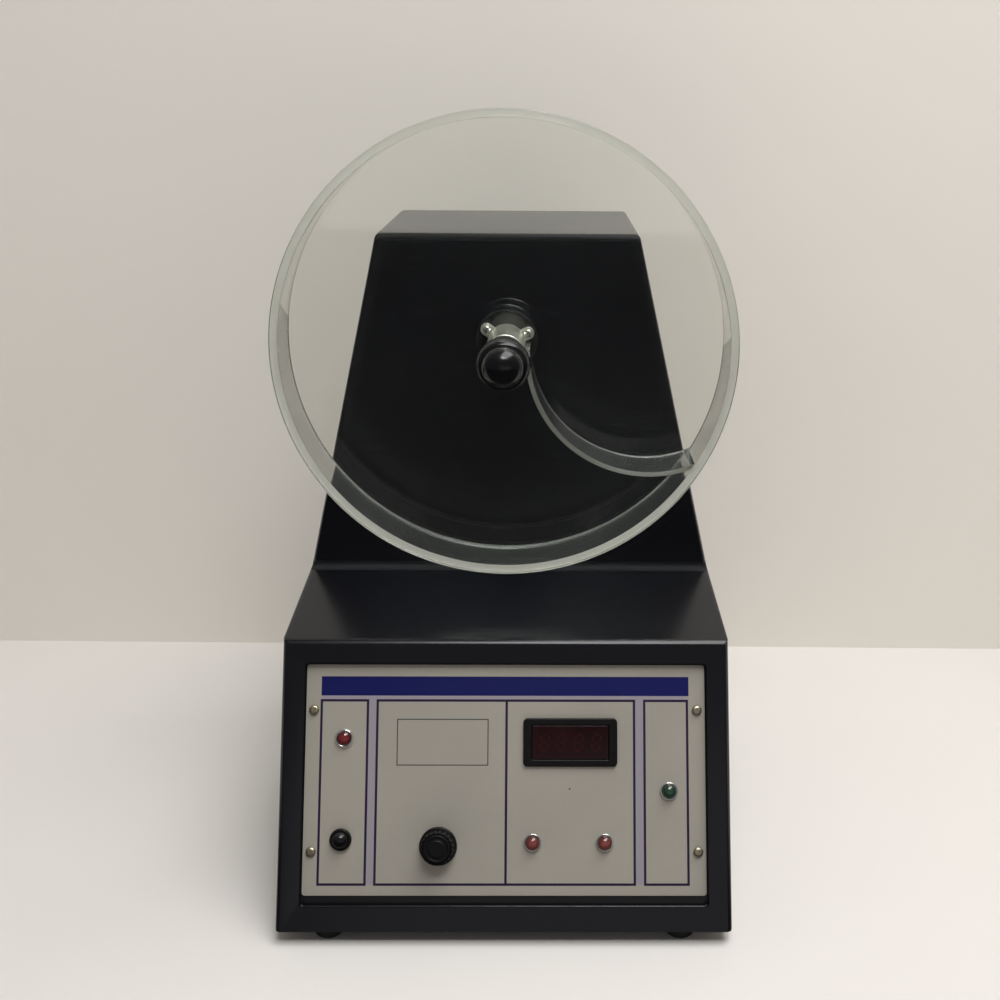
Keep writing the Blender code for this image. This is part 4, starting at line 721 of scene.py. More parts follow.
@dataclass(frozen=True)
class Plastic(Finish):
    """Moulded plastic or rubber: a fine skin, handling marks and a little dust on top."""

    name: str
    colour: Colour
    roughness: float
    skin: float = 0.00002
    dust: float = 0.06
    marks: float = 0.3
    specular: float = 0.5
    dust_colour: Colour = (0.3, 0.29, 0.27)
    grains: float = 1800.0
    patches: float = 80.0

    def paint(self, look: Look, graph: Graph) -> None:
        """Mould the skin, and mark and dust it.

        Args:
            look: The material under construction.
            graph: The material's graph.
        """
        height, patch = look.grain(self.grains, self.patches)
        base = graph.blend(patch, scaled(self.colour, 0.82), self.colour)
        look.set(
            Base_Color=graph.blend(look.dust(self.dust, self.dust), base, self.dust_colour),
            Roughness=look.worn(patch, self.roughness, self.roughness + 0.06,
                                look.marks(self.marks), 0.3),
            Specular_IOR_Level=self.specular)
        look.bump(height, self.skin, 0.3)


@dataclass(frozen=True)
class Translucent(Finish):
    """Coloured lens plastic with a painted highlight: its middle is painted a lighter colour."""

    name: str
    colour: Colour
    painted_highlight: Colour
    middle: Vector
    radius: float
    roughness: float = 0.12
    ribs: float = 900.0
    rib_depth: float = 0.00003

    def paint(self, look: Look, graph: Graph) -> None:
        """Colour the lens from its middle outwards, with the painted highlight in the middle.

        Args:
            look: The material under construction.
            graph: The material's graph.
        """
        apart = graph.add("ShaderNodeVectorMath", {0: look.place, 1: tuple(self.middle)},
                          operation="DISTANCE").outputs["Value"]
        ribs = graph.noise(look.place, self.ribs, 1.0)
        # Painted highlight: the colour turns lighter towards the lens's middle, broken up by the
        # ribs.
        share = graph.times(graph.span(apart, self.radius, self.radius * 0.3),
                            graph.span(ribs, 0.3, 0.75, 0.5, 1.0))
        look.set(
            Base_Color=graph.blend(share, self.colour, self.painted_highlight),
            Roughness=graph.clouds(look.place, 300.0, 2.0, 0.3, 0.7, self.roughness,
                                   self.roughness + 0.08),
            Subsurface_Weight=0.25, Subsurface_Radius=(0.004, 0.001, 0.001),
            Subsurface_Scale=0.6, Coat_Weight=0.7, Coat_Roughness=0.05)
        look.bump(ribs, self.rib_depth, 0.25)


@dataclass(frozen=True)
class PrintedBox:
    """One printed rectangle, in metres from the panel's middle and down from its top edge."""

    left: float
    right: float
    top: float
    bottom: float
    line: float = 0.0016

    def mask(self, graph: Graph, place: object, panel_height: float,
             output: str) -> bpy.types.NodeSocket:
        """Where the rectangle has ink.

        Args:
            graph: The material's graph.
            place: The place in the panel's own frame.
            panel_height: How high the panel is.
            output: Filled or Outline.

        Returns:
            The mask's socket.
        """
        middle = ((self.left + self.right) / 2, panel_height / 2 - (self.top + self.bottom) / 2)
        half = ((self.right - self.left) / 2, (self.bottom - self.top) / 2)
        return box_mask(graph, place, middle, half, self.line, output)


@dataclass(frozen=True)
class PanelPrint(Finish):
    """The control plate's print: grey ground, blue band, navy frames and a blank window."""

    frame: Matrix
    height: float
    name: str = "printed_panel"
    ground: Colour = (0.330, 0.303, 0.257)
    shade: Colour = (0.305, 0.281, 0.241)
    speckle: Colour = (0.45, 0.44, 0.405)
    halo: Colour = (0.278, 0.253, 0.301)
    blue: Colour = (0.0010, 0.0028, 0.074)
    navy: Colour = (0.012, 0.006, 0.032)
    black: Colour = (0.045, 0.045, 0.045)
    band: PrintedBox = PrintedBox(-0.1240, 0.1232, 0.0080, 0.0208)
    frames: tuple[PrintedBox, ...] = (
        PrintedBox(-0.1236, -0.0926, 0.0240, 0.1443),
        PrintedBox(-0.0861, 0.0006, 0.0240, 0.1443),
        PrintedBox(0.0006, 0.0863, 0.0240, 0.1443),
        PrintedBox(0.0932, 0.1220, 0.0240, 0.1443))
    gaps: tuple[PrintedBox, ...] = (
        PrintedBox(-0.0926, -0.0861, 0.0208, 0.1443),
        PrintedBox(0.0863, 0.0932, 0.0208, 0.1443),
        PrintedBox(-0.1236, 0.1220, 0.0208, 0.0240))
    window: PrintedBox = PrintedBox(-0.0725, -0.0118, 0.0365, 0.0667, 0.0007)
    dot: PrintedBox = PrintedBox(0.04245, 0.04355, 0.08165, 0.08275)
    halo_share: float = 0.8
    grains: float = 2600.0
    patches: float = 13.0
    ink_depth: float = 0.00003

    def paint(self, look: Look, graph: Graph) -> None:
        """Print the ground, then the lines and the band over it.

        Args:
            look: The material under construction.
            graph: The material's graph.
        """
        place = look.moved(self.frame)
        grain, patch = look.grain(self.grains, self.patches)
        colour = graph.blend(patch, self.shade, self.ground)
        colour = graph.blend(graph.span(grain, 0.35, 0.65, 0.0, 0.16), colour, self.speckle)
        for boxes, output, share, tint in (
                (self.gaps, "Filled", self.halo_share, self.halo),
                (self.frames, "Outline", 1, self.navy),
                ([self.window], "Outline", 1, self.black), ([self.dot], "Filled", 1, self.black)):
            for box in boxes:
                mask = box.mask(graph, place, self.height, output)
                colour = graph.blend(graph.times(mask, share), colour, tint)
        ink = graph.blend(graph.clouds(look.place, 700.0, 3.0, 0.3, 0.7), self.blue,
                          scaled(self.blue, 1.25))
        band = self.band.mask(graph, place, self.height, "Filled")
        look.set(Base_Color=graph.blend(band, colour, ink), Specular_IOR_Level=0.3,
                 Roughness=look.worn(patch, 0.42, 0.48, look.marks(0.35, place), 0.12))
        look.bump(graph.math("ADD", grain, graph.times(band, 0.6)), self.ink_depth, 0.25)


@dataclass(frozen=True)
class DisplayFilter(Finish):
    """Dark red display glass with the faint digits that show through when it is off."""

    frame: Matrix
    name: str = "dark_red_filter"
    glass: Colour = (0.0095, 0.0010, 0.0018)
    digit: Colour = (0.026, 0.0016, 0.0030)
    slant: float = 0.12
    pitch: float = 0.0115
    half_width: float = 0.0026
    half_height: float = 0.0052
    line: float = 0.0011
    reach: Point = (0.023, 0.009)

    def paint(self, look: Look, graph: Graph) -> None:
        """Repeat one digit's bars across the glass.

        Args:
            look: The material under construction.
            graph: The material's graph.
        """
        place = look.moved(self.frame)
        across, upward, _ = graph.axes(place)
        half_pitch = self.pitch / 2
        leaning = graph.math("SUBTRACT", across, graph.times(upward, self.slant))
        cell = graph.math("WRAP", graph.math("ADD", leaning, half_pitch), half_pitch, -half_pitch)
        digit = graph.add("ShaderNodeCombineXYZ", {0: cell, 1: upward}).outputs[0]
        wide, tall, line = self.half_width, self.half_height, self.line
        bars = [((0, level * tall), (wide - line, line / 2)) for level in (1, 0, -1)]
        bars += [((side * wide, level * tall / 2), (line / 2, tall / 2 - line))
                 for side in (-1, 1) for level in (-1, 1)]
        mask = 0.0
        for middle, half in bars:
            mask = graph.math("MAXIMUM", mask, box_mask(graph, digit, middle, half))
        mask = graph.times(mask, box_mask(graph, place, (0, 0), self.reach))
        haze = graph.clouds(look.place, 45.0, 3.0, 0.3, 0.75)
        glass = graph.blend(haze, self.glass, scaled(self.glass, 1.5))
        look.set(Base_Color=graph.blend(mask, glass, self.digit), Specular_IOR_Level=0.3,
                 Roughness=graph.span(haze, 0, 1, 0.10, 0.16))


@dataclass(frozen=True)
class CircuitBoard(Finish):
    """Green solder mask with copper tracks; what stands on it is dark plastic or metal."""

    level: float
    name: str = "circuit_board"
    greens: tuple[Colour, ...] = ((0.012, 0.11, 0.035), (0.014, 0.14, 0.045), (0.01, 0.09, 0.03))
    track: Colour = (0.05, 0.26, 0.09)
    plastic: Colour = (0.02, 0.02, 0.022)
    metal: Colour = (0.30, 0.30, 0.31)

    def paint(self, look: Look, graph: Graph) -> None:
        """Lay the tracks, and tell the parts from the board by their height.

        Args:
            look: The material under construction.
            graph: The material's graph.
        """
        light, lighter, dark = self.greens
        tracks = graph.add("ShaderNodeTexBrick", {
            "Vector": look.place, "Color1": light, "Color2": lighter, "Mortar": self.track,
            "Scale": 90.0, "Mortar Size": 0.03}).outputs[0]
        tone = graph.blend(graph.noise(look.place, 300.0, 2.0), tracks, dark)
        raised = graph.math("GREATER_THAN", graph.axes(look.place)[2], self.level)
        part = graph.blend(
            graph.clouds(look.place, 40.0, 0.0, 0.48, 0.52), self.plastic, self.metal)
        look.set(Base_Color=graph.blend(raised, tone, part),
                 Roughness=graph.clouds(look.place, 200.0, 2.0, 0.3, 0.7, 0.35, 0.5))


# Outlines and profiles


def rounded(corners: Sequence[Corner], closed: bool = True, steps: int = 4) -> list[Point]:
    """Replace the corners of a line by arcs.

    Args:
        corners: Points with the radius that each corner gets.
        closed: Whether the line joins its own start.
        steps: How many steps each arc has.

    Returns:
        The line's points.
    """
    line: list[Point] = []
    for index, (x, y, radius) in enumerate(corners):
        here = Vector((x, y))
        back = (Vector(corners[index - 1][:2]) - here).normalized()
        ahead = (Vector(corners[(index + 1) % len(corners)][:2]) - here).normalized()
        half = math.acos(max(-1.0, min(1.0, back.dot(ahead)))) / 2
        end = not closed and index in (0, len(corners) - 1)
        if end or radius <= 0 or QUARTER - half < 0.01:
            line.append((x, y))
            continue
        reach = 0.49 * min((Vector(corners[other % len(corners)][:2]) - here).length
                           for other in (index - 1, index + 1))
        run = min(radius / math.tan(half), reach)
        true_radius = run * math.tan(half)
        centre = here + (back + ahead).normalized() * (true_radius / math.sin(half))
        first = here + back * run - centre
        side = 1 if first.y * back.x - first.x * back.y > 0 else -1
        start = math.atan2(first.y, first.x)
        line += arc(centre, true_radius, start, start + side * (math.pi - 2 * half), steps)
    return line


def arc(middle: Sequence[float], radius: float, start: float, end: float,
        steps: int) -> list[Point]:
    """Points on an arc, both ends included."""
    angles = [start + (end - start) * i / steps for i in range(steps + 1)]
    return [(middle[0] + radius * math.cos(a), middle[1] + radius * math.sin(a)) for a in angles]


def circle(middle: Point, radius: float, steps: int) -> list[Point]:
    """Points on a circle, each of them once."""
    return arc(middle, radius, 0, math.tau, steps)[:-1]


def dome(inner: float, outer: float, low: float, high: float, steps: int) -> list[Point]:
    """A quarter of an ellipse, from the outer radius at the foot to the inner one on top.

    Args:
        inner: The radius on top.
        outer: The radius at the foot.
        low: The foot's height.
        high: The top's height.
        steps: How many steps it has.

    Returns:
        Its points.
    """
    angles = [QUARTER * i / steps for i in range(steps)]
    return [(inner + (outer - inner) * math.cos(a), low + (high - low) * math.sin(a))
            for a in angles] + [(inner, high)]


def rectangle(width: float, height: float, corner: float, middle: Point = (0, 0),
              steps: int = 4) -> list[Point]:
    """A rectangle's outline.

    Args:
        width: Its width.
        height: Its height.
        corner: The radius at its corners.
        middle: Where its middle is.
        steps: How many steps each corner has.

    Returns:
        The outline's points.
    """
    x, y = width / 2, height / 2
    outline = rounded([(x, y, corner), (-x, y, corner), (-x, -y, corner), (x, -y, corner)],
                      steps=steps)
    return [(px + middle[0], py + middle[1]) for px, py in outline]


# Meshes


def helper(data: bpy.types.ID | None, name: str = "helper") -> bpy.types.Object:
    """An object in the scene.

    Args:
        data: Its mesh, curve, lamp or camera.
        name: Its name.

    Returns:
        The object.
    """
    obj = bpy.data.objects.new(name, data)
    bpy.context.scene.collection.objects.link(obj)
    return obj


def read_back(source: bpy.types.Object) -> bpy.types.Mesh:
    """The evaluated mesh of an object, which is then removed with its own data.

    Args:
        source: A curve or mesh object with its modifiers.

    Returns:
        The plain mesh.
    """
    graph = bpy.context.evaluated_depsgraph_get()
    mesh = bpy.data.meshes.new_from_object(source.evaluated_get(graph), depsgraph=graph)
    data = source.data
    bpy.data.objects.remove(source, do_unlink=True)
    bpy.data.batch_remove([data])
    return mesh


def finished(bm: bmesh.types.BMesh, place: Matrix | None = None) -> bpy.types.Mesh:
    """Turn a bmesh into a mesh with merged points and outward faces.

    Args:
        bm: The bmesh, which is freed.
        place: Where it goes, if it was drawn about the origin.

    Returns:
        The mesh.
    """
    bmesh.ops.remove_doubles(bm, verts=bm.verts, dist=MERGE)
    bmesh.ops.recalc_face_normals(bm, faces=bm.faces)
    mesh = bpy.data.meshes.new("finished")
    bm.to_mesh(mesh)
    bm.free()
    if place is not None:
        mesh.transform(place)
    return mesh


def turned(profile: Iterable[Point], steps: int = 96, place: Matrix | None = None,
           closed: bool = False) -> bpy.types.Mesh:
    """Turn a profile of (radius, height) points about local Z.

    Args:
        profile: The profile. An open one starts and ends on the axis.
        steps: How many facets go round.
        place: Where the piece goes.
        closed: Whether the profile joins its own start, which leaves a bore.

    Returns:
        The turned mesh.
    """
    bm = bmesh.new()
    rings: list[list[bmesh.types.BMVert]] = []
    for radius, height in profile:
        angles = [math.tau * i / steps for i in range(steps if radius > MERGE else 1)]
        rings.append([bm.verts.new((radius * math.cos(a), radius * math.sin(a), height))
                      for a in angles])
    pairs = list(zip(rings, rings[1:]))
    if closed:
        pairs.append((rings[-1], rings[0]))
    for upper, lower in pairs:
        for i in range(steps):
            j = (i + 1) % steps
            ring = [upper[i % len(upper)], upper[j % len(upper)],
                    lower[j % len(lower)], lower[i % len(lower)]]
            face = list(dict.fromkeys(ring))
            if len(face) > 2:
                bm.faces.new(face)
    return finished(bm, place)


def sheet(outlines: Sequence[Sequence[Point]], low: float, high: float, edge: float = 0.0,
          place: Matrix | None = None) -> bpy.types.Mesh:
    """A flat sheet with holes and softened edges.

    Args:
        outlines: Its outer outline, then its holes, in local X and Y.
        low: Its lower face's local Z.
        high: Its upper face's local Z.
        edge: The radius of its edges.
        place: Where it goes.

    Returns:
        The sheet's mesh.
    """
    curve = bpy.data.curves.new("sheet", "CURVE")
    curve.dimensions = "2D"
    curve.fill_mode = "BOTH"
    for outline in outlines:
        spline = curve.splines.new("POLY")
        spline.points.add(len(outline) - 1)
        for point, (x, y) in zip(spline.points, outline):
            point.co = (x, y, 0, 1)
        spline.use_cyclic_u = True
    curve.extrude = (high - low) / 2 - edge
    curve.bevel_depth = edge
    curve.bevel_resolution = 2
    curve.offset = -edge
    mesh = read_back(helper(curve))
    bm = bmesh.new()
    bm.from_mesh(mesh)
    bpy.data.meshes.remove(mesh)
    bmesh.ops.translate(bm, verts=bm.verts, vec=(0, 0, (low + high) / 2))
    return finished(bm, place)


def worked(mesh: bpy.types.Mesh, operation: Operation,
           *tools: bpy.types.Mesh) -> bpy.types.Mesh:
    """Use the shapes of tools on a mesh, one after the other.

    Args:
        mesh: The raw mesh.
        operation: What the tools do.
        *tools: The tools' meshes.

    Returns:
        The worked mesh.
    """
    obj = helper(mesh, "workpiece")
    benches = [helper(tool, "tool") for tool in tools]
    for bench in benches:
        step = obj.modifiers.new("step", "BOOLEAN")
        step.operation = operation.value
        step.object = bench
        step.solver = "EXACT"
    result = read_back(obj)
    for bench in benches:
        bpy.data.objects.remove(bench, do_unlink=True)
    bpy.data.batch_remove(tools)
    return result


def face_numbers(mesh: bpy.types.Mesh, upper: int, lower: int) -> None:
    """Give the faces that lie across local Z materials of their own.

    Args:
        mesh: The mesh, drawn about its own origin.
        upper: The material number of the faces that look up.
        lower: The material number of those that look down.
    """
    for face in mesh.polygons:
        if abs(face.normal.z) > 0.5:
            face.material_index = upper if face.normal.z > 0 else lower


def shrink(vertex: bpy.types.MeshVertex, share: float) -> None:
    """Move a vertex a share of its way towards local Z."""
    vertex.co.xy *= 1 - share


def rebuilt(node: str) -> bpy.types.Mesh:
    """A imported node's surface with its loose triangles joined and its flat faces made whole.

    Args:
        node: The node's name.

    Returns:
        The new mesh.
    """
    bm = bmesh.new()
    bm.from_mesh(frame["nodes"][node].data)
    bmesh.ops.remove_doubles(bm, verts=bm.verts, dist=MERGE * 5)
    bmesh.ops.dissolve_limit(
        bm, angle_limit=math.radians(0.4), verts=bm.verts, edges=bm.edges)
    mesh = bpy.data.meshes.new(node)
    bm.to_mesh(mesh)
    bm.free()
    return mesh


def smooth(mesh: bpy.types.Mesh) -> bpy.types.Mesh:
    """Shade a mesh smooth between its edges, with its flat faces kept flat.

    Args:
        mesh: The mesh, which is used up.

    Returns:
        The shaded mesh.
    """
    mesh.shade_smooth()
    mesh.set_sharp_from_angle(angle=SMOOTH_ANGLE)
    obj = helper(mesh)
    weighted = obj.modifiers.new("flat faces", "WEIGHTED_NORMAL")
    weighted.mode = "FACE_AREA_WITH_ANGLE"
    weighted.weight = 80
    weighted.keep_sharp = True
    return read_back(obj)


def piece(name: str, mesh: bpy.types.Mesh, materials: Sequence[bpy.types.Material], body: Body,
          stands_for: Sequence[str]) -> None:
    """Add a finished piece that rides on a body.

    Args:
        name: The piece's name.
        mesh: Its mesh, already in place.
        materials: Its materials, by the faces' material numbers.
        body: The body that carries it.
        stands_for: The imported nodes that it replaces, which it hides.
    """
    shaded = smooth(mesh)
    shaded.name = name
    numbers = [min(face.material_index, len(materials) - 1) for face in shaded.polygons]
    shaded.materials.clear()
    for material in materials:
        shaded.materials.append(material)
    shaded.polygons.foreach_set("material_index", numbers)
    obj = helper(shaded, name)
    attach(obj, body.value)
    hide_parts(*stands_for)
    log.info("%s: %d faces", name, len(shaded.polygons))


@cache
def copies_tree() -> bpy.types.NodeTree:
    """Geometry nodes that set a part on every point, each turned by an angle of its own.

    Returns:
        The group's tree.
    """
    graph, given, result = group_tree(
        "copies_on_places",
        [Port("Places", kind="NodeSocketGeometry"), Port("Part", kind="NodeSocketObject"),
         Port("Largest turn"), Port("Seed", 7, "NodeSocketInt"),
         Port("Finish", kind="NodeSocketMaterial")],
        [Port("Copies", kind="NodeSocketGeometry")], "GeometryNodeTree")
    part = graph.add("GeometryNodeObjectInfo", {"Object": given["Part"]})
    turns = graph.add("FunctionNodeRandomValue", {
        2: 0.0, 3: given["Largest turn"], 8: given["Seed"]}, data_type="FLOAT")
    spin = graph.add("ShaderNodeCombineXYZ", {2: turns.outputs[1]})
    copies = graph.add("GeometryNodeInstanceOnPoints", {
        "Points": given["Places"], "Instance": part.outputs["Geometry"],
        "Rotation": graph.add("FunctionNodeEulerToRotation", {0: spin.outputs[0]}).outputs[0]})
    whole = graph.add("GeometryNodeRealizeInstances", {0: copies.outputs[0]})
    dressed = graph.add("GeometryNodeSetMaterial", {
        "Geometry": whole.outputs[0], "Material": given["Finish"]})
    graph.feed(result["Copies"], dressed.outputs[0])
    return graph.tree


def spread(name: str, part: bpy.types.Mesh, points: Iterable[Point], place: Matrix,
           finish: bpy.types.Material, nodes: Sequence[str], seed: int | None = None,
           body: Body = Body.CASE) -> None:
    """Set a part on several points of a frame, and add the copies as one piece.

    Args:
        name: The piece's name.
        part: The part's mesh, drawn about its own origin.
        points: Where its origin goes, in the frame's plane.
        place: The frame's matrix.
        finish: The part's material.
        nodes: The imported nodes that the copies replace.
        seed: The seed of the copies' turns about local Z. Without one, none is turned.
        body: The body that carries them.
    """
    spots = bpy.data.meshes.new("places")
    spots.from_pydata([(x, y, 0) for x, y in points], [], [])
    holder, original = helper(spots, "places"), helper(part, "original")
    copies = holder.modifiers.new("copies", "NODES")
    copies.node_group = copies_tree()
    given = {"Part": original, "Finish": finish, "Seed": seed or 0,
             "Largest turn": 0.0 if seed is None else math.tau}
    for socket in copies.node_group.interface.items_tree:
        if socket.in_out == "INPUT" and socket.name in given:
            copies[socket.identifier] = given[socket.name]
    mesh = read_back(holder)
    bpy.data.objects.remove(original, do_unlink=True)
    bpy.data.meshes.remove(part)
    mesh.transform(place)
    piece(name, mesh, [finish], body, nodes)


# Sub-assemblies


@dataclass(frozen=True)
class PanScrew:
    """A pan-head screw with a cross recess, its head towards local +Z."""

    top: float = 0.0025
    length: float = 0.0102
    radius: float = 0.0015
    head_radius: float = 0.0033
    head: float = 0.0022
    recess: float = 0.0011

    def mesh(self) -> bpy.types.Mesh:
        """Turn the screw and cut its recess.

        Returns:
            The screw's mesh.
        """
        wide, top, under, tip = (
            self.head_radius, self.top, self.top - self.head, self.top - self.length)
        crown = [(wide * math.cos(a) ** 0.45, under + self.head * (0.28 + 0.72 * math.sin(a)))
                 for a in (QUARTER * i / 10 for i in range(10))]
        profile = [(0, tip), (self.radius * 0.7, tip), (self.radius, tip + self.radius),
                   (self.radius, under), (wide * 0.96, under), (wide, under + self.head * 0.1),
                   *crown, (0, top)]
        arm, half = wide * 0.62, wide * 0.13
        cross = [(x * c - y * s, x * s + y * c) for c, s in ((1, 0), (0, 1), (-1, 0), (0, -1))
                 for x, y in ((arm, -half), (arm, half), (half, half))]
        return worked(turned(profile, 40), Operation.CUT,
                      sheet([cross], top - self.recess, top + self.recess))


@dataclass(frozen=True)
class Finishes:
    """The materials that several sub-assemblies share."""

    coat: bpy.types.Material
    acrylic: bpy.types.Material
    cut_edge: bpy.types.Material
    sawn_edge: bpy.types.Material
    worn_acrylic: bpy.types.Material
    turned: bpy.types.Material
    anodised: bpy.types.Material
    chrome: bpy.types.Material
    zinc: bpy.types.Material
    brass: bpy.types.Material
    plastic: bpy.types.Material
    gloss: bpy.types.Material
    rubber: bpy.types.Material

    @classmethod
    def mixed(cls) -> "Finishes":
        """Make every shared material.

        Returns:
            The materials under their names.
        """
        finishes = {
            "coat": PowderCoat(),
            "acrylic": ClearAcrylic(),
            "cut_edge": CutAcrylic(),
            "sawn_edge": CutAcrylic("sawn_acrylic_edge", (0.56, 0.54, 0.48), 0.90),
            "worn_acrylic": ClearAcrylic(
                "worn_acrylic_sheet", (0.93, 0.94, 0.91), 0.02, 0.014),
            "turned": TurnedMetal("turned_aluminium", (0.84, 0.84, 0.74), 0.32, AXIS),
            "anodised": Plastic("black_anodised", (0.006, 0.006, 0.006), 0.50, specular=0.25),
            "chrome": PlatedMetal("bright_plate", (0.94, 0.94, 0.92), 0.12),
            "zinc": PlatedMetal("zinc_plate", (0.62, 0.61, 0.58), 0.28),
            "brass": PlatedMetal("dulled_brass", (0.60, 0.53, 0.38), 0.30),
            "plastic": Plastic("satin_black_plastic", (0.0050, 0.0045, 0.0047), 0.34,
                               dust=0.02, marks=0.2, specular=0.2),
            "gloss": Plastic("gloss_black_plastic", (0.004, 0.004, 0.005), 0.14, specular=0.4),
            "rubber": Plastic("soft_black_rubber", (0.016, 0.0155, 0.0155), 0.72,
                              skin=0.00006, dust=0.2, marks=0.1)}
        return cls(**{name: finish.material() for name, finish in finishes.items()})


@dataclass(frozen=True)
class Case:
    """The painted case, its feet, and the plate on its back."""

    finish: Finishes
    foot_height: float = 0.010
    foot_radius: float = 0.0105
    foot_bore: float = 0.0023
    foot_recess: Point = (0.0048, 0.0040)
    plate_inset: float = 0.001
    plate_thickness: float = 0.002
    vent: Point = (0.060, 0.004)
    vent_pitch: float = 0.009
    vent_count: int = 6
    vent_top: float = 0.3801
    inlet_mouth: Point = (0.0406, 0.0196)
    fuse_hole: float = 0.0065

    def build(self) -> None:
        """Make the case's pieces."""
        piece("case_shell", rebuilt("housing"), [self.finish.coat], Body.CASE, ["housing"])
        self.feet()
        self.back_plate()

    def feet(self) -> None:
        """Four rubber feet and the screws up their middles."""
        ends = [f"{end}_{side}" for end in ("front", "rear") for side in ("left", "right")]
        names = ["foot_" + end for end in ends]
        points = [extent(name, UNDER).middle for name in names]
        bore, low, (recess, deep) = self.foot_bore, -self.foot_height, self.foot_recess
        profile = rounded([
            (bore, -deep, 0), (recess, -deep, 0), (recess, 0, 0.0004),
            (self.foot_radius - 0.001, 0, 0.0012), (self.foot_radius, low, 0.0003),
            (bore, low, 0)])
        spread("rubber_feet", turned(profile, 64, closed=True), points, UNDER,
               self.finish.rubber, names)
        screw = PanScrew(-0.0011, 0.0166, 0.002, 0.0038, 0.0026, 0.0014)
        spread("foot_screws", screw.mesh(), points, UNDER, self.finish.zinc,
               ["foot_screw_" + end for end in ends], 11)

    def back_plate(self) -> None:
        """The plate on the back with its slots, and the screws in its corners."""
        inset, (vent_width, vent_height) = self.plate_inset, self.vent
        half, top, low = CASE_HALF - inset, TOWER_TOP - inset, CASE_BOTTOM + inset
        top_half = TOWER_TOP_HALF - inset * 0.8
        outline = rounded([
            (half, low, 0.001), (half, TAPER_FOOT, 0), (top_half, top, 0.001),
            (-top_half, top, 0.001), (-half, TAPER_FOOT, 0), (-half, low, 0.001)])
        first = self.vent_top - vent_height / 2
        holes = [rectangle(vent_width, vent_height, 0.0019, (0, first - i * self.vent_pitch), 6)
                 for i in range(self.vent_count)]
        holes.append(rectangle(*self.inlet_mouth, 0.002, extent("power_inlet", BACK).middle))
        holes.append(circle(extent("fuse_holder", BACK).middle, self.fuse_hole, 48))
        names = [f"cover_screw_{level}_{side}"
                 for level in ("lower", "upper") for side in ("left", "right")]
        points = [extent(name, BACK).middle for name in names]
        holes += [circle(point, SCREW_HOLE, 24) for point in points]
        piece("back_plate", sheet([outline, *holes], -self.plate_thickness, 0, 0.0003, BACK),
              [self.finish.coat], Body.CASE, ["rear_cover"])
        spread("back_plate_screws", PanScrew().mesh(), points, BACK, self.finish.zinc, names, 5)


@dataclass(frozen=True)
class Press:
    """A domed push button in its collar."""

    name: str
    body: Body
    cap: bpy.types.Material
    collar: bpy.types.Material
    collar_radius: float
    collar_height: float
    dome_share: float = 0.5
    clearance: float = 0.0003
    wall: float = 0.0006
    travel: float = 0.0030

    def build(self) -> None:
        """Make the cap and the collar that it sinks into."""
        cap, socket = (extent(self.name + end, PANEL) for end in ("_button", "_switch"))
        radius, top, low = cap.radius, cap.high.z, cap.low.z
        place, name = at(PANEL, cap.middle), self.name + "_push_button"
        profile = [(0, low), (radius - 0.0002, low), (radius, low + 0.0002),
                   *dome(0, radius, top * self.dome_share, top, 16)]
        piece(name, turned(profile, 64, place), [self.cap], self.body, [self.name + "_button"])
        inner = radius + self.clearance
        outer, floor = inner + self.wall, low - self.travel
        rim, height = self.collar_radius, self.collar_height
        ring = rounded([
            (0, socket.low.z, 0), (outer, socket.low.z, 0.0006), (outer, 0.0002, 0),
            (rim, 0.0002, 0.0001), (rim, height, min(0.0009, (rim - inner) * 0.5)),
            (inner, height, 0.00025), (inner, floor, 0.0002), (0, floor, 0)],
            closed=False, steps=5)
        piece(name + "_collar", turned(ring, 64, place), [self.collar], Body.CASE,
              [self.name + "_switch"])


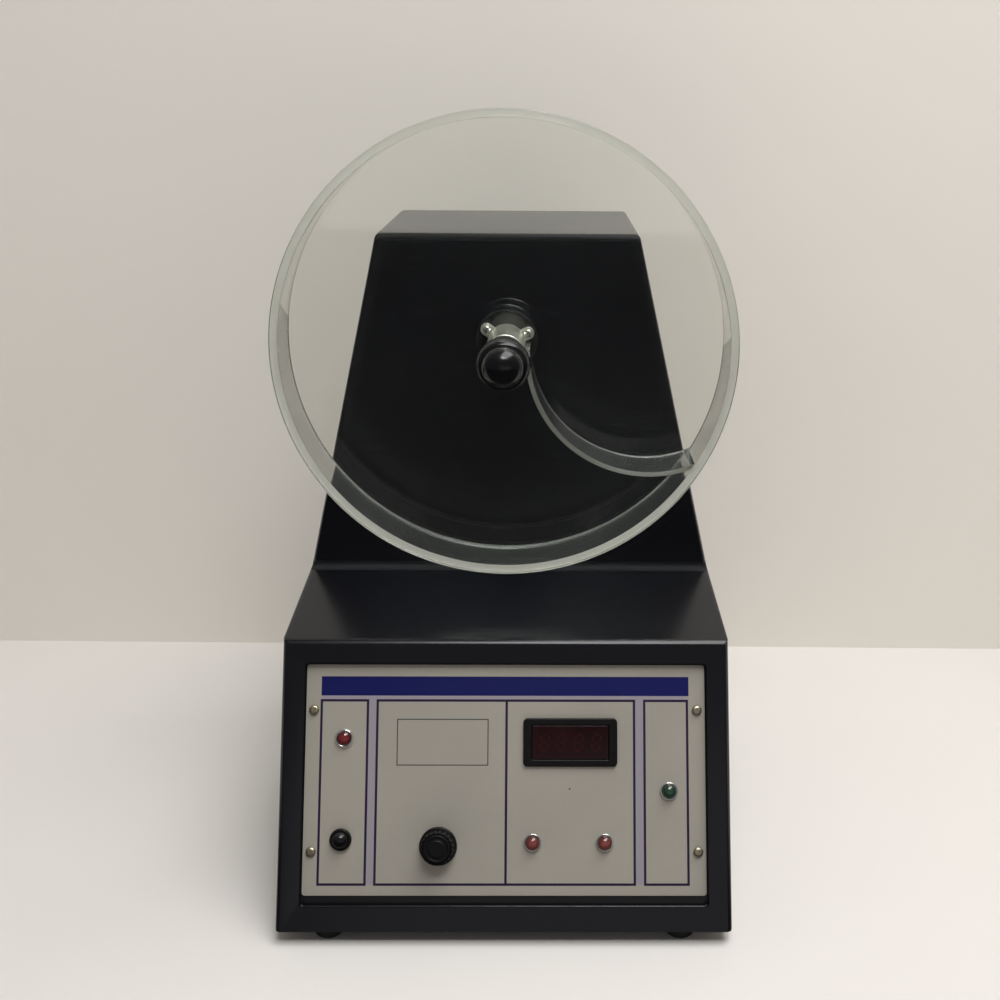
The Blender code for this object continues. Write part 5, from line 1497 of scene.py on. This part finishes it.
@dataclass(frozen=True)
class Panel:
    """The printed control plate and everything that is mounted in it."""

    finish: Finishes
    openings: tuple[tuple[str, float], ...] = (
        ("power_lamp_lens", 0.0056), ("mains_button", 0.0062), ("speed_knob", 0.0048),
        ("timer_left_button", 0.0056), ("timer_right_button", 0.0056), ("start_button", 0.0056))
    display_opening: Point = (0.0576, 0.0266)
    knob_skirt: float = 0.0125
    knob_grip: float = 0.0108
    knob_cap: float = 0.0092
    knob_flutes: int = 20
    flute_depth: float = 0.0007
    mains_collar: Point = (0.0072, 0.0035)
    button_collar: Point = (0.0059, 0.002)
    # Each pair is a lens colour and its painted highlight, the lighter colour painted into the
    # lens's middle.
    red: tuple[Colour, Colour] = ((0.085, 0.014, 0.012), (0.24, 0.060, 0.050))
    green: tuple[Colour, Colour] = ((0.008, 0.030, 0.017), (0.024, 0.062, 0.036))

    def build(self) -> None:
        """Make the plate, its screws, the lamp, the display, the buttons and the knob."""
        self.plate()
        self.lamp()
        self.display()
        self.buttons()
        self.speed_knob()

    def plate(self) -> None:
        """The printed plate with its cut-outs, and the screws at its edges."""
        whole = extent("control_panel", PANEL)
        names = [f"panel_screw_{level}_{side}"
                 for level in ("upper", "lower") for side in ("left", "right")]
        points = [extent(name, PANEL).middle for name in names]
        outline = rectangle(whole.size.x, whole.size.y, 0.002)
        holes = [circle(extent(node, PANEL).middle, radius, 48) for node, radius in self.openings]
        holes.append(rectangle(
            *self.display_opening, 0.002, extent("display_bezel", PANEL).middle))
        holes += [circle(point, SCREW_HOLE, 24) for point in points]
        piece("printed_panel", sheet([outline, *holes], whole.low.z, 0, 0.00025, PANEL),
              [PanelPrint(PANEL, whole.size.y).material()], Body.CASE, ["control_panel"])
        spread("panel_screws", PanScrew().mesh(), points, PANEL, self.finish.brass, names, 3)

    def lamp(self) -> None:
        """The red power lamp: a domed lens in a bright bezel."""
        lens, bezel = (extent("power_lamp_" + end, PANEL) for end in ("lens", "bezel"))
        place, radius, top, low = at(PANEL, lens.middle), lens.radius, lens.high.z, lens.low.z
        # The second colour is the lens's painted highlight, centred near the top of its dome.
        red = Translucent("lamp_red", (0.070, 0.008, 0.009), (0.20, 0.020, 0.022),
                          place @ Vector((0, 0, top * 0.8)), radius).material()
        profile = [(0, low), (radius, low), *dome(0, radius, 0.0022, top, 16)]
        piece("power_lamp_red_lens", turned(profile, 64, place), [red], Body.CASE,
              ["power_lamp_lens"])
        inner, outer, rim, height = radius + 0.0003, radius + 0.0009, bezel.radius, bezel.high.z
        floor = low - 0.0004
        ring = rounded([
            (0, bezel.low.z, 0), (outer, bezel.low.z, 0.0006), (outer, 0.0002, 0),
            (rim, 0.0002, 0.0001), (rim, height * 0.45, 0.0003), (rim - 0.0009, height, 0.0004),
            (inner, height, 0.0003), (inner, floor, 0), (0, floor, 0)], closed=False, steps=5)
        piece("power_lamp_ring", turned(ring, 72, place), [self.finish.chrome], Body.CASE,
              ["power_lamp_bezel"])

    def display(self) -> None:
        """The black display frame and its dark red filter."""
        whole, window = (extent("display_" + end, PANEL) for end in ("bezel", "window"))
        (width, height), (wide, tall) = whole.size.xy, window.size.xy
        flange = sheet([rectangle(width, height, 0.003, steps=6),
                        rectangle(wide + 0.0006, tall + 0.0006, 0.0008)],
                       0.0002, whole.high.z, 0.0007)
        skirt = sheet([rectangle(width - 0.006, height - 0.006, 0.002),
                       rectangle(wide + 0.0012, tall + 0.0012, 0.0005)], whole.low.z, 0.0012)
        place = at(PANEL, whole.middle)
        mesh = worked(flange, Operation.JOIN, skirt)
        mesh.transform(place)
        piece("display_frame", mesh, [self.finish.plastic], Body.CASE, ["display_bezel"])
        glass = sheet([rectangle(wide, tall, 0.0006)], window.low.z, window.high.z, 0.0002, place)
        piece("display_filter", glass, [DisplayFilter(place).material()], Body.CASE,
              ["display_window"])

    def buttons(self) -> None:
        """The mains button, the two timer buttons and the start button."""
        Press("mains", Body.MAINS_BUTTON, self.finish.gloss, self.finish.plastic,
              *self.mains_collar).build()
        for name, body, colours in (
                ("timer_left", Body.TIMER_LEFT, self.red),
                ("timer_right", Body.TIMER_RIGHT, self.red), ("start", Body.START, self.green)):
            cap = extent(name + "_button", PANEL)
            # The painted highlight of each cap is centred near its tip.
            tip = at(PANEL, cap.middle) @ Vector((0, 0, cap.high.z * 0.9))
            look = Translucent(name + "_lens", *colours, tip, cap.radius, 0.18).material()
            Press(name, body, look, self.finish.chrome, *self.button_collar).build()

    def speed_knob(self) -> None:
        """The black fluted knob with its raised cap."""
        whole = extent("speed_knob", PANEL)
        low, top = whole.low.z, whole.high.z
        skirt, grip, cap = self.knob_skirt, self.knob_grip, self.knob_cap
        knob = turned(rounded([
            (0, low + 0.0055, 0), (0.0068, low + 0.0055, 0), (0.0068, low, 0.0002),
            (skirt, low, 0.0003), (skirt, low + 0.003, 0.0012), (grip + 0.0002, low + 0.0032, 0),
            (grip, low + 0.0125, 0.0010), (cap + 0.0003, low + 0.0125, 0.0002),
            (cap, low + 0.0121, 0), (cap - 0.0004, top, 0.0006), (0.0074, top, 0.0003),
            (0.0072, top - 0.0006, 0.0002), (0.0056, top - 0.0005, 0),
            (0.0050, top - 0.0001, 0.0002), (0, top - 0.0001, 0)], closed=False), 240)
        for vertex in knob.vertices:
            radius = vertex.co.xy.length
            if radius > cap + 0.0004 and vertex.co.z > low + 0.0031:
                angle = math.atan2(vertex.co.y, vertex.co.x)
                wave = max(0.0, math.cos(self.knob_flutes * angle)) ** 1.5
                shrink(vertex, self.flute_depth * wave / radius)
        knob.transform(at(PANEL, whole.middle))
        piece("speed_control_knob", knob, [self.finish.plastic], Body.SPEED_KNOB,
              ["speed_knob"])


@dataclass(frozen=True)
class Drum:
    """The clear drum: wall, back, baffle, hub, flange and shaft."""

    finish: Finishes
    bore: float = 0.1435
    outside: float = 0.1485
    sides: int = 256
    baffle_middle: float = 0.0938
    baffle_outer: float = 0.081
    baffle_inner: float = 0.078
    ear_radius: float = 0.004
    ear_thickness: float = 0.003
    hub_radius: float = 0.0125
    flange_radius: float = 0.0205
    flange_thickness: float = 0.006
    flange_neck: float = 0.0110
    shaft_radius: float = 0.005
    shoulder: float = -0.0053
    thread_crest: float = 0.004
    thread_depth: float = 0.00055
    thread_pitch: float = 0.00125

    def build(self) -> None:
        """Make the drum's pieces."""
        self.wall()
        self.back()
        self.baffle()
        self.hub()
        self.flange()
        self.shaft()

    def wall(self) -> None:
        """The ring of the drum's wall, clear with pale cut ends."""
        whole = extent("drum_rim", AXIS)
        low, high, soft = whole.low.z, whole.high.z, 0.0003
        ring = turned(rounded([
            (self.bore, low, soft), (self.bore, high, soft),
            (self.outside, high, soft), (self.outside, low, soft)], steps=2),
            self.sides, closed=True)
        face_numbers(ring, 1, 2)
        ring.transform(AXIS)
        piece("drum_wall", ring,
              [self.finish.worn_acrylic, self.finish.cut_edge, self.finish.sawn_edge],
              Body.DRUM, ["drum_rim"])

    def disc(self, name: str, body: Body, node: str, holes: Sequence[Sequence[Point]]) -> None:
        """Add a clear disc with softened edges and holes.

        Args:
            name: The piece's name.
            body: The body that carries it.
            node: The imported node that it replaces.
            holes: The holes' outlines.
        """
        whole = extent(node, AXIS)
        outline = circle((0, 0), self.outside, self.sides)
        piece(name, sheet([outline, *holes], whole.low.z, whole.high.z, 0.0004, AXIS),
              [self.finish.acrylic], body, [node])

    def back(self) -> None:
        """The drum's clear back, drilled for the shaft and the hub screws."""
        self.disc("drum_back", Body.DRUM, "drum_rear_plate", [
            circle((0, 0), SHAFT_HOLE, 48),
            *(circle(point, SCREW_HOLE, 24) for point in self.hub_points())])

    def hub_points(self) -> list[Point]:
        """Where the hub's screws stand."""
        return [(HUB_SCREW_CIRCLE * math.cos(a), HUB_SCREW_CIRCLE * math.sin(a))
                for a in HUB_ANGLES]

    def baffle(self) -> None:
        """The curved clear sheet that lifts the tablets."""
        whole = extent("drum_baffle", AXIS)
        middle, reach = self.baffle_middle, self.bore - 0.0005
        sides = []
        for radius in (self.baffle_outer, self.baffle_inner):
            cosine = (reach ** 2 - middle ** 2 - radius ** 2) / (2 * middle * radius)
            sides.append(arc((middle, 0), radius, math.pi, math.tau - math.acos(cosine), 72))
        bent = sheet([sides[0] + sides[1][::-1]], whole.low.z, whole.high.z, 0.0003)
        face_numbers(bent, 1, 1)
        bent.transform(AXIS)
        piece("drum_baffle_sheet", bent, [self.finish.worn_acrylic, self.finish.sawn_edge],
              Body.DRUM, ["drum_baffle"])

    def hub(self) -> None:
        """The bright ring round the shaft, with an ear and a screw in it at three places."""
        whole = extent("hub_ring", AXIS)
        low, high, ear = whole.low.z, whole.high.z, self.ear_radius
        ring = turned(rounded([
            (SHAFT_HOLE, low, 0.0002), (SHAFT_HOLE, high, 0.0004),
            (self.hub_radius, high, 0.0006), (self.hub_radius, low, 0.0002)], steps=3),
            closed=True)
        middle, root = (HUB_SCREW_CIRCLE, 0), self.hub_radius - 0.0015
        line = [(root, -ear), *arc(middle, ear, -QUARTER, QUARTER, 20), (root, ear)]
        ears = [sheet([line, circle(middle, SCREW_HOLE, 24)], low, low + self.ear_thickness,
                      0.0002, Matrix.Rotation(angle, 4, "Z")) for angle in HUB_ANGLES]
        hub = worked(ring, Operation.JOIN, *ears)
        hub.transform(AXIS)
        piece("hub_ring_and_ears", hub, [self.finish.turned], Body.DRUM, ["hub_ring"])
        names = [f"hub_screw_{i}" for i in (1, 2, 3)]
        screw = PanScrew(extent(names[0], AXIS).high.z, 0.0139, 0.0015, 0.0027, 0.0019, 0.0009)
        spread("hub_screws", screw.mesh(), self.hub_points(), AXIS, self.finish.chrome, names,
               2, Body.DRUM)

    def flange(self) -> None:
        """The turned flange that drives the drum from behind."""
        whole = extent("drive_flange", AXIS)
        low, high, neck = whole.low.z, whole.high.z, self.flange_neck
        step = high - self.flange_thickness
        profile = rounded([
            (SHAFT_HOLE, low, 0.0002), (SHAFT_HOLE, high, 0.0003),
            (self.flange_radius, high, 0.0004), (self.flange_radius, step, 0.0006),
            (neck, step, 0.0008), (neck, low, 0.0004)], steps=3)
        piece("turned_flange", turned(profile, 120, AXIS, closed=True), [self.finish.anodised],
              Body.DRUM, ["drive_flange"])

    def shaft(self) -> None:
        """The shaft with the screw thread that the cover's knob winds onto."""
        whole = extent("drive_shaft", AXIS)
        low, high, radius, shoulder = whole.low.z, whole.high.z, self.shaft_radius, self.shoulder
        crest, pitch, row = self.thread_crest, self.thread_pitch, self.thread_pitch / 8
        rows = int((high - shoulder - 0.0012) / row)
        shaft = turned([
            (0, low), (radius - 0.0005, low), (radius, low + 0.0005), (radius, shoulder),
            (crest, shoulder), *((crest, shoulder + 0.0004 + i * row) for i in range(rows)),
            (crest - 0.0007, high), (0, high)], 48)
        for vertex in shaft.vertices:
            if abs(vertex.co.xy.length - crest) < MERGE * 20 and vertex.co.z > shoulder + 0.0003:
                angle = math.atan2(vertex.co.y, vertex.co.x)
                phase = (vertex.co.z / pitch - angle / math.tau) % 1
                shrink(vertex, self.thread_depth * (1 - abs(2 * phase - 1)) / crest)
        shaft.transform(AXIS)
        piece("threaded_shaft", shaft, [self.finish.zinc], Body.DRUM, ["drive_shaft"])


@dataclass(frozen=True)
class Front:
    """What comes off the drum: the clear cover and the knob that holds it."""

    finish: Finishes
    drum: Drum
    cover_hole: float = 0.0045
    bore: float = 0.0043
    bore_depth: float = 0.015
    neck: float = 0.009
    neck_height: float = 0.023
    rim: float = 0.0167
    dome: float = 0.013

    def build(self) -> None:
        """Make the cover and its knob."""
        self.drum.disc("drum_front_cover", Body.COVER, "drum_cover",
                       [circle((0, 0), self.cover_hole, 40)])
        knob = extent("cover_knob", AXIS)
        low, top = knob.low.z, knob.high.z
        under, end = low + self.neck_height, low + self.bore_depth
        brim, shoulder = under + 0.005, under + 0.012
        profile = rounded([
            (0, end, 0), (self.bore, end, 0), (self.bore, low, 0.0003),
            (self.neck, low, 0.0005), (self.neck, under, 0.0025), (self.rim, under, 0.003),
            (self.rim, brim, 0)], closed=False, steps=8)
        profile += dome(self.dome, self.rim, brim, shoulder, 12)[1:]
        profile += dome(0, self.dome, shoulder, top, 20)[1:]
        piece("cover_mushroom_knob", turned(profile, 96, AXIS), [self.finish.gloss],
              Body.COVER_KNOB, ["cover_knob"])


@dataclass(frozen=True)
class Drive:
    """What carries and turns the shaft, mostly inside the tower."""

    finish: Finishes
    bore: float = 0.0120
    seat: float = 0.0150
    seat_depth: float = 0.010
    barrel: float = 0.0185
    collar: float = 0.0235
    collar_at: float = -0.083

    def build(self) -> None:
        """Make the bearing nose and give the inner nodes their finishes."""
        whole = extent("bearing_housing", AXIS)
        low, high = whole.low.z, whole.high.z
        back, front = low + self.seat_depth, high - self.seat_depth
        profile = rounded([
            (self.bore, back, 0), (self.seat, back, 0), (self.seat, low, 0.0003),
            (self.barrel, low, 0.0004), (self.barrel, self.collar_at + 0.0003, 0),
            (self.collar, self.collar_at + 0.0003, 0.0003),
            (self.collar, self.collar_at + 0.0033, 0.0008),
            (self.barrel, self.collar_at + 0.0033, 0.0012), (self.barrel, high, 0.0014),
            (self.seat, high, 0.0004), (self.seat, front, 0), (self.bore, front, 0)])
        piece("bearing_nose", turned(profile, 96, AXIS, closed=True), [self.finish.coat],
              Body.CASE, ["bearing_housing"])
        self.inner_nodes()

    def inner_nodes(self) -> None:
        """Give the nodes that stay as they were packed a finish of their own."""
        finish = self.finish
        board = CircuitBoard(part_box("main_board")[0].z + 0.0018)
        wanted = {
            finish.zinc: ("base_plate", "bearing_ring_nut", "motor_bracket", "gearbox_shaft",
                          "speed_pot", "pot_shaft"),
            finish.chrome: ("bearing_front", "bearing_rear"),
            finish.turned: ("shaft_coupling",),
            finish.plastic: ("power_inlet", "fuse_holder"),
            PlatedMetal("cast_alloy", (0.44, 0.44, 0.43), 0.46).material(): ("gearbox",),
            Plastic("grey_lacquer", (0.10, 0.105, 0.11), 0.45).material(): ("motor",),
            PlatedMetal("core_sheets", (0.30, 0.29, 0.28), 0.55).material(): ("transformer",),
            board.material(): ("main_board",),
            CircuitBoard(1.0, "display_circuit_board").material(): ("display_board",)}
        for material, nodes in wanted.items():
            for node in nodes:
                data = frame["nodes"][node].data
                data.materials.clear()
                data.materials.append(material)


# Studio


@dataclass(frozen=True)
class Studio:
    """Floor, wall, lights and the camera at the photograph's viewpoint."""

    wall_at: float = 0.28404
    wall_turn: float = 0.014099
    reach: float = 4.0
    table: Colour = (0.80, 0.768, 0.730)
    wall: Colour = (0.90, 0.855, 0.785)
    # Painted reflection: the dark colour that mirror-like rays see on the floor ahead of the case,
    # and the span over which it fades in.
    painted_reflection_colour: Colour = (0.03, 0.03, 0.03)
    painted_reflection_from: Point = (-0.10, -0.20)
    sky: Colour = (0.97, 0.98, 1.0)
    sky_strength: float = 0.15
    mirrored_sky_strength: float = 0.12
    stand: Corner = (0.02526, -0.84333, 0.53806)
    pitch: float = -0.32801
    yaw: float = 0.01155
    roll: float = 0.00739
    lens: float = 44.28
    sideways: float = -0.05756

    def build(self) -> None:
        """Set up everything round the object."""
        r = self.reach
        far, near = (self.wall_at + side * r * self.wall_turn for side in (1, -1))
        self.surface("table_top", self.table, [(-r, -r, 0), (r, -r, 0), (r, r, 0), (-r, r, 0)])
        self.surface("back_wall", self.wall,
                     [(-r, far, 0), (r, near, 0), (r, near, r), (-r, far, r)])
        self.lights()
        self.camera()

    def surface(self, name: str, colour: Colour, corners: Sequence[Corner]) -> None:
        """Add a pale surface that shows from its front side alone.

        Its part ahead of the case carries a painted reflection: mirror-like rays see a dark colour
        there, in place of a dark room.

        Args:
            name: The surface's name.
            colour: Its colour.
            corners: Its four corners.
        """
        mesh = bpy.data.meshes.new(name)
        mesh.from_pydata(corners, [], [(0, 1, 2, 3)])
        look = Look(name)
        graph = look.graph
        tone = graph.clouds(look.place, 3.0, 4.0, 0.3, 0.7)
        look.set(Base_Color=graph.blend(tone, scaled(colour, 0.985), colour),
                 Roughness=graph.span(tone, 0, 1, 0.75, 0.85), Specular_IOR_Level=0.2)
        # Painted reflection: ahead of the case, mirror-like rays see the dark colour instead of
        # the floor.
        ahead = graph.span(graph.axes(look.place)[1], *self.painted_reflection_from)
        mirrored = graph.add("ShaderNodeLightPath").outputs["Is Glossy Ray"]
        with_painted_reflection = graph.either(graph.times(ahead, mirrored), look.shader,
                             graph.add("ShaderNodeBsdfDiffuse", {0: self.painted_reflection_colour}))
        look.show(graph.either(
            graph.add("ShaderNodeNewGeometry").outputs["Backfacing"], with_painted_reflection,
            graph.add("ShaderNodeBsdfTransparent")))
        mesh.materials.append(look.material)
        helper(mesh, name)

    def lights(self) -> None:
        """A wide lamp overhead, a strip above the front, a weak glow ahead and a dim room."""
        for name, place, aim, size, power in (
                ("overhead", (0.62, -0.34, 2.1), (0.42, -0.25, 0.2), (2.2, 1.1), 44.5),
                ("front_strip", (0.05, -1.05, 1.70), (0, -0.1, 0.3), (0.45, 0.14), 5.0),
                ("front_glow", (0.4, -1.9, 0.52), (0, 0, 0.3), (1.8, 0.6), 0.9)):
            data = bpy.data.lights.new(name, "AREA")
            data.shape = "RECTANGLE"
            data.size, data.size_y = size
            data.energy = power
            lamp = helper(data, name)
            lamp.location = place
            lamp.rotation_euler = (Vector(aim) - Vector(place)).to_track_quat("-Z", "Y").to_euler()
        world = bpy.data.worlds.new("room")
        world.use_nodes = True
        graph = Graph(world.node_tree)
        mirrored = graph.add("ShaderNodeLightPath").outputs["Is Glossy Ray"]
        sky = world.node_tree.nodes["Background"].inputs
        graph.feed(sky["Color"], self.sky)
        graph.feed(sky["Strength"], graph.span(
            mirrored, 0, 1, self.sky_strength, self.mirrored_sky_strength))
        bpy.context.scene.world = world

    def camera(self) -> None:
        """The camera at the photograph's viewpoint."""
        data = bpy.data.cameras.new("camera")
        data.lens = self.lens
        data.shift_x = self.sideways
        data.sensor_width = 36
        data.clip_start, data.clip_end = 0.02, 30
        camera = helper(data, "camera")
        ahead = Vector((math.sin(self.yaw) * math.cos(self.pitch),
                        math.cos(self.yaw) * math.cos(self.pitch), math.sin(self.pitch)))
        right = Vector((math.cos(self.yaw), -math.sin(self.yaw), 0))
        upward = right.cross(ahead)
        c, s = math.cos(self.roll), math.sin(self.roll)
        turn = Matrix((right * c + upward * s, upward * c - right * s, -ahead))
        camera.matrix_world = Matrix.Translation(self.stand) @ turn.transposed().to_4x4()
        bpy.context.scene.camera = camera


def main() -> None:
    """Build every sub-assembly in order, then the studio."""
    logging.basicConfig(level=logging.INFO, format="%(name)s: %(message)s")
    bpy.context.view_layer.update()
    scene = bpy.context.scene
    scene.view_settings.view_transform = "Standard"
    finish = Finishes.mixed()
    drum = Drum(finish)
    for assembly in (Case(finish), Panel(finish), drum, Front(finish, drum), Drive(finish),
                     Studio()):
        assembly.build()


if __name__ == "__main__":
    main()
